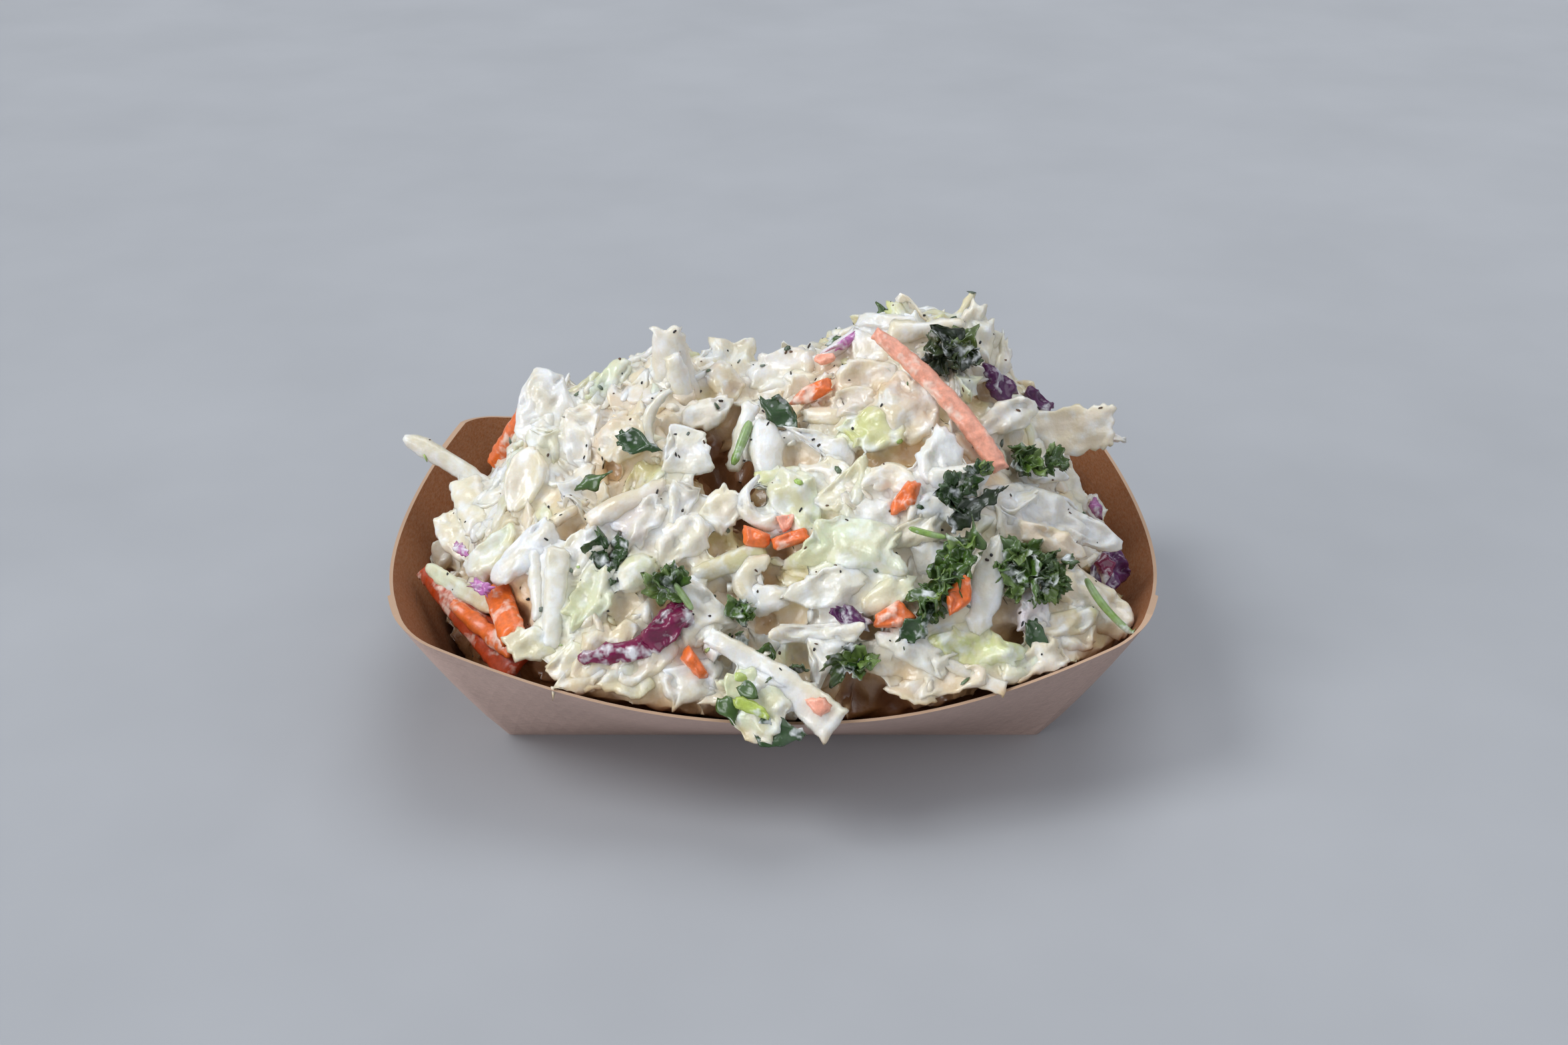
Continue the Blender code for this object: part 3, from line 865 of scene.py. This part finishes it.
# Each row: form, both ends, width, thickness, colour, bends.
CARROTS_REACHING = [
    ("spear", (-60, -13.5, 26.5), (-40.5, -40, 23.5), 5.4, 2.2, RUST, dict(curl=-0.01)),
    ("strip", (-52, -27, 27), (-41, -39, 25.5), 3.0, 2.0, ORANGE, {}),
    ("board", (-44.8, -28, 31.5), (-40.5, -39.5, 28), 4.6, 2.4, ORANGE, {}),
    ("strip", (-52, 20, 29), (-43.5, 18, 42), 3.4, 2.2, ORANGE, {}),
    ("chip", (5.0, -52.6, 26.2), (8.6, -54.2, 24.0), 3.0, 1.6, PINKISH, {}),
]
REDS = [
    (-20.5, -42.5, 24, 19, 4.2, 1.2, 0.5, 2, MAGENTA, dict(cup=-0.3, arc=0.06, wave=0.5)),
    (-16.0, -41, 40, 9, 6.2, 1.2, 0.5, 3, MAGENTA, dict(cup=-0.2, wave=0.6)),
    (-51, -14, -40, 7, 1.8, 1.2, 0.3, 2, PALE_PLUM, {}),
    (-45, -31, -30, 7, 1.6, 1.2, 0.3, 2, PALE_PLUM, {}),
    (12, -40, -30, 6, 3.6, 1.2, 0.6, 3, PLUM, dict(cup=0.35)),
    (36, -9, -20, 8, 5.0, 1.3, 0.4, 1, PLUM, dict(cup=-0.1)),
    (44, 2, -30, 7, 4.0, 1.2, 0.5, 2, PLUM, dict(cup=-0.1)),
    (55, 4, -45, 6, 3.4, 1.3, 0.4, 2, PALE_PLUM, {}),
    (55, -16, 50, 13, 6.5, 1.6, 0.4, 2, PLUM, dict(cup=-0.1)),
    (53, -19, 60, 7, 3.5, 1.4, 0.4, 3, MAGENTA, dict(cup=-0.1)),
    (13, 0, 30, 9, 2.6, 1.4, 0.7, 3, PALE_PLUM, {}),
]


def put_in(pile, batch, row, form, ragged, relief):
    """One piece of carrot or red cabbage, set where it shows."""
    x, y, heading, length, width, thick, face, rise, tint, bends = row
    flat, quads = cut(form, length, width, thick, ragged, relief, 0.42)
    points = lifted(laid(bent(flat, **bends), x, y, heading, face, rise))
    pile.cover(points)
    batch.add(points, quads, NO_TRIS, tint * rng.uniform(0.92, 1.06))


def scatter_in(pile, batch, count, form, sizes, tints, ragged, relief, rise):
    """Further pieces, on the sides and the back where none is listed."""
    jj, ii = np.nonzero(in_heap)
    for _ in range(count):
        k = rng.integers(0, len(jj))
        x, y = LEFT + ii[k] * STEP, FRONT + jj[k] * STEP
        if y < 20 and abs(x) < 54:
            continue
        length, width, thick = (rng.uniform(*span) for span in sizes)
        flat, quads = cut(form, length, width, thick, ragged, relief, 0.42)
        flat = bent(flat, curl=rng.normal(0, 0.04), cup=rng.normal(0, 0.05))
        points = laid(flat, x, y, rng.uniform(0, 360), 0, 0, rng.normal(0, 12), rng.normal(0, 15))
        points = off_the_walls(pile.settle(points, -rise, 0.5))
        batch.add(points, quads, NO_TRIS, tints[rng.integers(len(tints))] * rng.uniform(0.9, 1.05))


# Each row: x, y, heading, length, width, leaflets, leaflet size, turn to the front, rise, colour.
CLUSTERS = [
    (28, -9, -5, 6, 4, 16, 2.9, 0.6, 2, DEEP_LEAF),
    (-16, -37, -15, 3.4, 2, 7, 3.0, 0.5, 3, LEAF),
    (41, -17, 5, 8, 3, 16, 2.7, 0.5, 2, LEAF),
    (40, -34, -10, 9, 5.5, 36, 2.9, 0.5, 3, LEAF),
    (27, -37, 50, 12, 2.6, 24, 2.9, 0.5, 3, LEAF),
    (31, -27, 35, 9, 1.6, 9, 2.9, 0.5, 3, DARK_LEAF),
    (-5, -39, -60, 5, 1.5, 7, 2.4, 0.4, 2, LEAF),
    (13, -44, 25, 4, 3, 6, 2.8, 0.4, 1, DARK_LEAF),
    (-25, -32, -55, 5, 2, 6, 2.8, 0.4, 1, DARK_LEAF),
    (1, -44, 10, 5, 3, 5, 3.0, 0.4, 3, LEAF),
]
# Each row: x, y, heading, length, width, turn to the front, rise, colour.
BLADES = [
    (-21, -18, -20, 7, 3.2, 0.5, 3, DARK_LEAF),
    (2, -13, -50, 8, 4.6, 0.6, 3, DARK_LEAF),
    (31, -30, 35, 11, 3.4, 0.4, 3, DEEP_LEAF),
    (22, -42, 45, 8, 2.8, 0.4, 4, DARK_LEAF),
    (41, -41, -65, 7, 3.0, 0.4, 2, DARK_LEAF),
    (-28, -22, 20, 5, 2.2, 0.4, 3, LEAF),
    (13, 1, 0, 8, 2.0, 0.6, 1, LEAF),
]
# Each row: x, y, heading, length, thickness, arc, turn to the front, rise, colour.
STEMS = [
    (-14, -38, -55, 5, 1.1, 0.0, 0.4, 4, STEM),
    (-5, -16, 70, 8, 1.6, 0.0, 0.5, 3, STEM),
    (51, -34, -45, 12, 1.3, 0.05, 0.4, 4, STEM),
    (24, -33, -15, 6, 1.0, 0.03, 0.4, 4, STEM),
    (-3, -45, 10, 6, 2.0, 0.0, 0.3, 4, PALE_STEM),
]


# Greens on the piece that hangs over the front rim: form, both ends, width, colour.
GREENS_REACHING = [
    ("blade", (-2.5, -54.4, 21.2), (5, -55.2, 20.6), 4.4, DARK_LEAF),
    ("blade", (-7.4, -50.6, 24.6), (-5.6, -53.2, 21.4), 3.0, LEAF),
    ("blade", (-5, -51.4, 27.4), (-2, -53.0, 26.0), 2.6, LEAF),
    ("stick", (-5.6, -52.6, 25.6), (-0.6, -55.0, 23.8), 1.7, PALE_STEM),
]


def leaflet(size, ruffle):
    """A small lobed and ruffled leaf with its foot at the origin: points and quads."""
    along, across = 8, 27
    r, a = np.meshgrid(np.linspace(0.08, 1, along), np.linspace(-1, 1, across), indexing="ij")
    angle = a * math.radians(rng.uniform(60, 120))
    teeth = np.cos(a * math.pi * rng.integers(6, 9))
    parted = np.abs(np.cos(a * math.pi * 1.5)) ** 0.6
    lobes = 1 - (0.42 * (1 - parted) - 0.08 * teeth - 0.06 * rough(across)) * r**2
    reach = size * r * (0.65 + 0.35 * np.cos(angle)) * lobes
    x, y = reach * np.cos(angle), reach * np.sin(angle)
    fold = rng.uniform(-0.2, 0.8)
    z = ruffle * r**2 * np.sin(a * math.pi * rng.uniform(1.5, 4) + rng.uniform(0, 6))
    z += fold * np.abs(y) + rng.uniform(-0.1, 0.16) * x**2
    z += 0.12 * size * r * rough(along, across, times=2)
    shell = np.full_like(z, 0.16)
    shell[[0, -1], :] = 0
    shell[:, [0, -1]] = 0
    top = np.stack([x, y, z + shell], axis=-1)
    low = np.stack([x, y, z - shell], axis=-1)
    points = np.vstack([top.reshape(-1, 3), low[1:-1, 1:-1].reshape(-1, 3)])
    return points, double_grid(along, across)


def put_cluster(batch, x, y, heading, length, width, count, size, face, rise, tint):
    """A tuft of parsley or kale: leaflets heaped at all angles."""
    for _ in range(count):
        flat, quads = leaflet(size * rng.uniform(0.8, 1.5), rng.uniform(0.15, 0.5))
        turn = spun(2, rng.uniform(0, 360)) @ spun(1, -rng.uniform(-20, 45)) @ spun(
            0, rng.normal(0, 32)
        )
        flat = flat @ turn.T
        flat[:, 0] += rng.uniform(-0.5, 0.5) * length
        flat[:, 1] += rng.uniform(-0.5, 0.5) * width
        flat[:, 2] += rng.uniform(-0.8, 1.0)
        points = lifted(laid(flat, x, y, heading, face, rise))
        mixed = tint + (BRIGHT_LEAF - tint) * rng.uniform(0, 0.75) ** 3
        batch.add(points, quads, NO_TRIS, mixed * rng.uniform(0.7, 1.2))


def icosahedron():
    """The corners and faces of an icosahedron of about unit radius."""
    g = (1 + math.sqrt(5)) / 2
    corners = []
    for a in (-1, 1):
        for b in (-g, g):
            corners += [(a, b, 0), (0, a, b), (b, 0, a)]
    corners = np.array(corners, float) / math.hypot(1, g)
    edge = 1.1
    faces = []
    for i in range(12):
        for j in range(i + 1, 12):
            for k in range(j + 1, 12):
                p, q, r = corners[[i, j, k]]
                if max(np.linalg.norm(p - q), np.linalg.norm(q - r), np.linalg.norm(r - p)) < edge:
                    out = np.dot(np.cross(q - p, r - p), p) > 0
                    faces.append((i, j, k) if out else (i, k, j))
    return corners, np.array(faces)


CHIP, CHIP_FACES = icosahedron()


def put_specks(batch, trees, count, sizes, flat, tints, sink=0.25):
    """Small chips stuck on the slaw's visible surface."""
    jj, ii = np.nonzero(in_heap)
    made = 0
    for _ in range(count * 4):
        if made == count:
            break
        k = rng.integers(0, len(jj))
        x, y = LEFT + ii[k] * STEP, FRONT + jj[k] * STEP
        n = normal_at(x, y)
        start = np.array([x, y, surface[jj[k], ii[k]]]) + n * 25
        way = -n + rng.normal(0, 0.25, 3)
        hits = [tree.ray_cast(Vector(start * MM), Vector(way), 0.05) for tree in trees]
        hits = [hit for hit in hits if hit[0] is not None]
        if not hits:
            continue
        place, up, _, _ = min(hits, key=lambda hit: hit[3])
        place, up = np.array(place) / MM, np.array(up)
        if up @ way > 0:
            up = -up
        e1 = np.cross(up, rng.normal(0, 1, 3))
        e1 /= np.linalg.norm(e1)
        size = rng.uniform(*sizes)
        shape = CHIP * rng.uniform(0.75, 1.25, (12, 1)) * (size / 2)
        shape = shape * (rng.uniform(0.9, 1.6), rng.uniform(0.5, 0.9), flat)
        points = shape @ np.vstack([e1, np.cross(up, e1), up]) + place + up * flat * size * sink
        tint = tints[rng.integers(len(tints))] * rng.uniform(0.7, 1.3)
        batch.add(points, np.zeros((0, 4), int), CHIP_FACES, tint)
        made += 1


# ---------------------------------------------------------------- materials


class Nodes:
    """A short way to write a node material."""

    def __init__(self, name):
        self.material = bpy.data.materials.new(name)
        self.material.use_nodes = True
        self.tree = self.material.node_tree
        self.shader = self.tree.nodes["Principled BSDF"]
        self.coords = self.tree.nodes.new("ShaderNodeTexCoord").outputs["Object"]
        geometry = self.tree.nodes.new("ShaderNodeNewGeometry").outputs
        self.normal, self.facet = geometry["Normal"], geometry["True Normal"]

    def node(self, kind, sockets=(), **settings):
        made = self.tree.nodes.new("ShaderNode" + kind)
        for key, value in settings.items():
            setattr(made, key, value)
        for key, value in dict(sockets).items():
            self.feed(made.inputs[key], value)
        return made

    def feed(self, socket, value):
        if isinstance(value, bpy.types.NodeSocket):
            self.tree.links.new(value, socket)
        elif hasattr(value, "__len__") and len(value) == 3 and len(socket.default_value) == 4:
            socket.default_value = (*value, 1)
        else:
            socket.default_value = value

    def noise(self, size, detail=3.0, rough=0.55, stretch=(1, 1, 1)):
        """Noise whose features are about size millimetres."""
        scale = [s / (size * MM) for s in stretch]
        where = self.node("Mapping", {"Vector": self.coords, "Scale": scale}).outputs[0]
        sockets = {"Vector": where, "Scale": 1.0, "Detail": detail, "Roughness": rough}
        return self.node("TexNoise", sockets).outputs["Fac"]

    def ramp(self, value, *stops):
        made = self.node("ValToRGB", {"Fac": value})
        ramp = made.color_ramp
        while len(ramp.elements) < len(stops):
            ramp.elements.new(0.5)
        for element, (at, colour) in zip(ramp.elements, stops):
            element.position = at
            grey = (colour,) * 3 if np.isscalar(colour) else tuple(colour)
            element.color = (*grey, 1)
        return made.outputs[0]

    def mix(self, share, a, b, blend="MIX"):
        made = self.node("Mix", data_type="RGBA", blend_type=blend)
        self.feed(made.inputs[0], share)
        self.feed(made.inputs[6], a)
        self.feed(made.inputs[7], b)
        return made.outputs[2]

    def maths(self, kind, a, b=0.0, c=0.5):
        made = self.node("Math", operation=kind)
        for socket, value in zip(made.inputs, (a, b, c)):
            self.feed(socket, value)
        return made.outputs[0]

    def attribute(self, name, output="Color"):
        return self.node("Attribute", attribute_name=name).outputs[output]

    def bump(self, height, distance, normal=None):
        """Relief of up to distance millimetres."""
        sockets = {"Height": height, "Distance": distance * MM}
        if normal is not None:
            sockets["Normal"] = normal
        return self.node("Bump", sockets).outputs[0]

    def finish(self, **sockets):
        for key, value in sockets.items():
            self.feed(self.shader.inputs[key.replace("_", " ")], value)
        return self.material


DRESSING = linear((240, 242, 243))


def slaw_material():
    """Cabbage under creamy dressing: white to pale green, with painted shade that darkens and browns
    the crevices.
    """
    m = Nodes("dressed_cabbage")
    own = m.attribute("tint")
    cloud = m.ramp(m.noise(7.0, 4), (0.35, (1, 1, 1)), (0.7, linear((246, 237, 222))))
    colour = m.mix(0.7, own, cloud, "MULTIPLY")
    coat = m.ramp(m.noise(3.0, 3), (0.47, 0.0), (0.66, 0.7))
    colour = m.mix(coat, colour, DRESSING)
    clear = m.ramp(m.noise(1.5, 3, 0.6, (1, 1, 0.5)), (0.42, 0.0), (0.72, 0.42))
    colour = m.mix(clear, colour, linear((222, 208, 172)))
    # Painted shade: the deeper a point lies in the heap, the darker and warmer brown it is coloured.
    depth = m.maths("MULTIPLY", m.attribute("deep", "Fac"), 0.16)
    painted_crevice_shade = m.ramp(depth, (0.1, (1, 1, 1)), (0.4, linear((250, 236, 216))),
                  (0.7, linear((236, 206, 172))), (1.0, linear((158, 112, 78))))
    colour = m.mix(1.0, colour, painted_crevice_shade, "MULTIPLY")
    fine = m.bump(m.noise(0.7, 3), 0.06)
    relief = m.bump(m.noise(2.2, 3), 0.25, fine)
    gloss = m.ramp(m.noise(3.0, 2), (0.3, 0.26), (0.7, 0.46))
    return m.finish(
        Base_Color=colour, Roughness=gloss, Normal=relief, Subsurface_Weight=0.35,
        Subsurface_Radius=(1.0, 0.75, 0.5), Subsurface_Scale=1.4 * MM,
        Coat_Weight=0.5, Coat_Roughness=0.12, Specular_IOR_Level=0.5,
    )


def smeared_material(name, film, patches, gloss=0.35, subsurface=0.15, coating=DRESSING):
    """A coloured vegetable under a thin film and thicker smears of dressing."""
    m = Nodes(name)
    own = m.attribute("tint")
    grain = m.ramp(m.noise(0.9, 4, 0.6), (0.3, 0.75), (0.7, 1.15))
    colour = m.mix(1.0, own, grain, "MULTIPLY")
    thin = m.ramp(m.noise(3.2, 3), (0.35, 0.0), (0.75, film))
    thick = m.ramp(m.noise(3.4, 3, 0.55), (patches - 0.04, 0.0), (patches + 0.09, 0.85))
    colour = m.mix(thin, colour, coating)
    colour = m.mix(thick, colour, coating)
    relief = m.bump(grain, 0.05, m.bump(thick, 0.12))
    return m.finish(
        Base_Color=colour, Roughness=gloss, Normal=relief, Subsurface_Weight=subsurface,
        Subsurface_Radius=(1.0, 0.6, 0.4), Subsurface_Scale=1.0 * MM,
        Coat_Weight=0.3, Coat_Roughness=0.2,
    )


def speck_material(name):
    m = Nodes(name)
    own = m.attribute("tint")
    colour = m.mix(1.0, own, m.ramp(m.noise(0.25, 2), (0.3, 0.6), (0.7, 1.4)), "MULTIPLY")
    return m.finish(Base_Color=colour, Roughness=0.45, Normal=m.bump(m.noise(0.2, 2), 0.03))


def kraft_material(name, painted_light_outside, inside, fleck):
    """Uncoated kraft board: pressed fibres, darker and lighter flecks, a little fuzz.

    A wall's outer face, which points away from the tray's middle, gets painted light: it is lighter
    and greyer than the inner face, which gets painted shade.
    """
    m = Nodes(name)
    facing = m.node("VectorMath", {0: m.coords, 1: m.normal}, operation="MULTIPLY").outputs[0]
    parts = m.node("SeparateXYZ", {0: facing}).outputs
    away = m.maths("ADD", parts["X"], parts["Y"])
    upward = m.node("SeparateXYZ", {0: m.facet}).outputs["Z"]
    # Painted light and shade: outer faces take the lighter grey colour, inner faces the darker brown
    # one.
    painted_light_tone = m.mix(m.ramp(m.maths("MULTIPLY_ADD", away, 200.0, 0.5), (0.4, 0.0), (0.6, 1.0)),
                 inside, painted_light_outside)
    fibre = m.noise(1.6, 5, 0.7, (1, 4, 4))
    across = m.noise(1.3, 5, 0.7, (4, 1, 4))
    cloud = m.noise(22, 3)
    colour = m.mix(1.0, painted_light_tone, m.ramp(fibre, (0.25, 0.8), (0.75, 1.2)), "MULTIPLY")
    colour = m.mix(m.ramp(across, (0.35, 0.0), (0.75, 0.22)), colour, fleck)
    colour = m.mix(1.0, colour, m.ramp(cloud, (0.35, 1.0), (0.7, 0.86)), "MULTIPLY")
    grain = m.bump(m.noise(0.5, 4, 0.7), 0.05)
    scuffs = m.ramp(m.noise(3.0, 3, 0.6, (0.12, 0.12, 2)), (0.68, 0.0), (0.76, 0.5))
    colour = m.mix(scuffs, colour, linear((110, 76, 58)))
    height = m.node("SeparateXYZ", {0: m.coords}).outputs["Z"]
    rim = m.maths("MULTIPLY", m.maths("GREATER_THAN", height, 0.02),
                  m.maths("GREATER_THAN", upward, 0.9))
    colour = m.mix(rim, colour, linear((190, 158, 132)))
    return m.finish(
        Base_Color=colour, Roughness=0.82, Normal=m.bump(fibre, 0.04, grain),
        Specular_IOR_Level=0.25,
    )


# ---------------------------------------------------------------- build the slaw

CORE_DROP = 5.0


def core_heights():
    """The core's upper surface: nowhere near the heap's edge, where pieces lie on the tray."""
    low = heap_blur(heap_top, 1.5) - CORE_DROP - (surface - wanted)
    return np.where(in_heap & (low > tray_floor + 1.0), low, NOTHING)


def core_block(core):
    """The slaw's hidden inside, as a block under the lowest layer of pieces."""
    step = 4
    rows = np.arange(0, DEEP, step)
    cols = np.arange(0, ACROSS, step)
    inner = core[np.ix_(rows, cols)] > NOTHING
    index = -np.ones(inner.shape, int)
    index[inner] = np.arange(inner.sum())
    jj, ii = np.nonzero(inner)
    x, y = LEFT + cols[ii] * STEP, FRONT + rows[jj] * STEP
    top = core[rows[jj], cols[ii]]
    low = np.minimum(tray_floor[rows[jj], cols[ii]] + 0.5, top - 0.1)
    points = np.vstack([np.column_stack([x, y, top]), np.column_stack([x, y, low])])
    full = inner[:-1, :-1] & inner[1:, :-1] & inner[:-1, 1:] & inner[1:, 1:]
    corners = (index[:-1, :-1], index[:-1, 1:], index[1:, 1:], index[1:, :-1])
    up = np.column_stack([c[full] for c in corners])
    edges = {(face[k], face[(k + 1) % 4]) for face in up.tolist() for k in range(4)}
    rim = [(p, q) for p, q in sorted(edges) if (q, p) not in edges]
    side = np.array([(q, p, p + len(x), q + len(x)) for p, q in rim])
    return points, np.vstack([up, up[:, ::-1] + len(x), side]), NO_TRIS


core = core_heights()
pile = Pile(np.maximum(tray_floor, core))
cabbage = Cabbage()
cabbage.under.add(*core_block(core), BEIGE)
fill(pile, cabbage.kind, wanted - 3.5, 480, 12.0, 0.5, 0.6)
fill(pile, cabbage.kind, wanted - 1.8, 420, 14.0, 0.4, 0.6)
for row in SHOWN:
    shown_piece(pile, cabbage, row)
for row in REACHING:
    reaching_piece(cabbage, row)

carrots = Batch()
for row in CARROTS:
    put_in(pile, carrots, row, "strip" if row[3] > 9 else "chip", 0.12, 0.1)
for form, a, b, width, thick, tint, bends in CARROTS_REACHING:
    flat, quads = cut(form, np.linalg.norm(np.subtract(b, a)), width, thick, 0.15, 0.06, 0.42)
    points = lifted(between(bent(flat, **bends), a, b))
    pile.cover(points)
    carrots.add(points, quads, NO_TRIS, tint)
reds = Batch()
for row in REDS:
    put_in(pile, reds, row, "spear" if row[3] > 15 else "petal", 0.35, 0.12)
fill(pile, cabbage.kind, wanted - 0.8, 330, 16.0, 0.3, 0.6)
cabbage.bury(pile)


def finished(piece, material, replaced=()):
    """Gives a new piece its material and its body."""
    piece.data.shade_smooth()
    piece.data.materials.append(material)
    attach(piece, "root")
    return piece


slaw_look = slaw_material()
cabbage_pieces = []
whole = cabbage.whole()
for name, mesh in (
    ("cabbage_core", fused(whole, "cabbage_core", 0.5, 0.9, 90000, 0.4)),
    ("cabbage_chunks", loose(cabbage.chunks, "cabbage_chunks", 0.26, 190000)),
    ("cabbage_flakes", loose(cabbage.flakes, "cabbage_flakes", 0.26, 170000)),
    ("cabbage_leaves", loose(cabbage.leaves, "cabbage_leaves", 0.28, 190000)),
    ("cabbage_strips", loose(cabbage.strips, "cabbage_strips", 0.3, 110000)),
):
    if "tint" not in mesh.color_attributes:
        carry_tints(whole, mesh)
    keep_inside(mesh)
    put_depth(mesh, pile)
    cabbage_pieces.append(finished(link(bpy.data.objects.new(name, mesh)), slaw_look))
for piece in cabbage_pieces:
    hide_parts("slaw_heap")

scatter_in(pile, carrots, 22, "strip", ((5, 16), (2.2, 3.4), (1.8, 2.6)), (ORANGE, PINKISH, RUST),
           0.12, 0.06, 0.4)
finished(carrots.thing("carrot_strips"),
         smeared_material("dressed_carrot", 0.1, 0.58, coating=linear((252, 226, 208))))

scatter_in(pile, reds, 18, "leaf", ((5, 11), (2, 5), (1.0, 1.5)), (MAGENTA, PLUM, PALE_PLUM),
           0.35, 0.08, 0.4)
finished(reds.thing("red_cabbage"), smeared_material("dressed_red_cabbage", 0.03, 0.58, 0.2))

herbs = Batch()
for row in CLUSTERS:
    put_cluster(herbs, *row)
for x, y, heading, length, width, face, rise, tint in BLADES:
    flat, quads = cut("blade", length, width, 0.5, 0.5, 0.14, 0.4)
    flat = bent(flat, curl=rng.normal(0, 0.08), cup=rng.choice([-0.3, 0.3]), wave=0.6)
    herbs.add(lifted(laid(flat, x, y, heading, face, rise)), quads, NO_TRIS, tint)
for _ in range(16):
    k = rng.integers(0, in_heap.sum())
    j, i = (where[k] for where in np.nonzero(in_heap))
    x, y = LEFT + i * STEP, FRONT + j * STEP
    if y < 20:
        continue
    put_cluster(herbs, x, y, rng.uniform(0, 360), 5, 4, int(rng.integers(3, 8)), 3.6, 0.0, 1.0,
                DARK_LEAF if rng.random() < 0.5 else LEAF)
for form, a, b, width, tint in GREENS_REACHING:
    flat, quads = cut(form, np.linalg.norm(np.subtract(b, a)), width, 0.6, 0.3, 0.1, 0.4)
    herbs.add(between(bent(flat, cup=0.1, wave=0.4), a, b), quads, NO_TRIS, tint)
finished(herbs.thing("parsley_leaves"), smeared_material("dressed_herbs", 0.06, 0.6, 0.24, 0.05))

stems = Batch()
for x, y, heading, length, thick, arc, face, rise, tint in STEMS:
    flat, quads = cut("stick", length, thick, thick, 0.03, 0.02, 0.4)
    points = lifted(laid(bent(flat, arc=arc), x, y, heading, face, rise))
    stems.add(points, quads, NO_TRIS, tint)
finished(stems.thing("herb_stems"), smeared_material("dressed_stems", 0.3, 0.66, 0.3, 0.1))

graph = bpy.context.evaluated_depsgraph_get()
trees = [BVHTree.FromObject(piece, graph) for piece in cabbage_pieces]
pepper = Batch()
put_specks(pepper, trees, 300, (0.3, 0.75), 0.4,
           [linear(c) for c in ((26, 24, 26), (34, 30, 30), (52, 40, 32), (96, 68, 46))])
finished(pepper.thing("pepper_specks"), speck_material("cracked_pepper"))
bits = Batch()
put_specks(bits, trees, 90, (0.6, 1.7), 0.22, [DARK_LEAF, LEAF, BRIGHT_LEAF], 0.4)
finished(bits.thing("herb_bits"), smeared_material("herb_flecks", 0.3, 0.7, 0.35, 0.05))

# ---------------------------------------------------------------- the tray

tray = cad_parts["paper_tray"]
# The first colour is painted light for the outer faces, the second is painted shade for the inner
# faces.
kraft = kraft_material(
    "kraft", linear((194, 167, 157)), linear((140, 83, 44)), linear((206, 182, 156))
)
for tray_slot in tray.material_slots:
    tray_slot.material = kraft
if not tray.material_slots:
    tray.data.materials.append(kraft)


# ---------------------------------------------------------------- floor, light and camera


def look_at(thing, at):
    way = Vector(at) - thing.location
    thing.rotation_euler = way.to_track_quat("-Z", "Y").to_euler()


def soft_light(name, place, at, spread, strength, colour):
    """A broad light from afar, spread over so many degrees of the sky."""
    data = bpy.data.lights.new(name, "SUN")
    data.angle = math.radians(spread)
    data.energy = strength
    data.color = colour
    light = link(bpy.data.objects.new(name, data))
    light.location = place
    look_at(light, at)


floor_mesh = bpy.data.meshes.new("floor")
floor_mesh.from_pydata([(-9, -9, 0), (9, -9, 0), (9, 9, 0), (-9, 9, 0)], [], [(0, 1, 2, 3)])
floor = link(bpy.data.objects.new("floor", floor_mesh))
pale = Nodes("pale_floor")
shade = pale.ramp(pale.noise(60, 3), (0.3, linear((168, 169, 172))), (0.7, linear((174, 175, 178))))
floor.data.materials.append(pale.finish(Base_Color=shade, Roughness=0.7))

world = bpy.data.worlds.new("studio")
world.use_nodes = True
world.node_tree.nodes["Background"].inputs[0].default_value = (0.80, 0.88, 1.0, 1)
world.node_tree.nodes["Background"].inputs[1].default_value = 0.32
bpy.context.scene.world = world

middle = (0, 0, 0.03)
soft_light("key", (-0.5, -0.12, 0.62), middle, 26, 1.36, (0.93, 0.97, 1.0))
soft_light("top", (0.1, 0.3, 0.75), middle, 36, 0.85, (0.92, 0.96, 1.0))
soft_light("front", (-0.95, -0.6, 0.2), middle, 36, 1.5, (0.96, 0.97, 1.0))
soft_light("fill", (0.4, -0.3, 0.6), middle, 56, 0.7, (0.95, 0.96, 1.0))

AIM = (0.0018, 0, 0.0277)
ELEVATION = math.radians(28)
DISTANCE = 0.334
camera_data = bpy.data.cameras.new("camera")
camera_data.sensor_width = 36
camera_data.lens = 43.86
camera_data.clip_start = 0.01
camera = link(bpy.data.objects.new("camera", camera_data))
camera.location = (
    AIM[0],
    AIM[1] - DISTANCE * math.cos(ELEVATION),
    AIM[2] + DISTANCE * math.sin(ELEVATION),
)
look_at(camera, AIM)
bpy.context.scene.camera = camera
bpy.context.scene.view_settings.view_transform = "Standard"
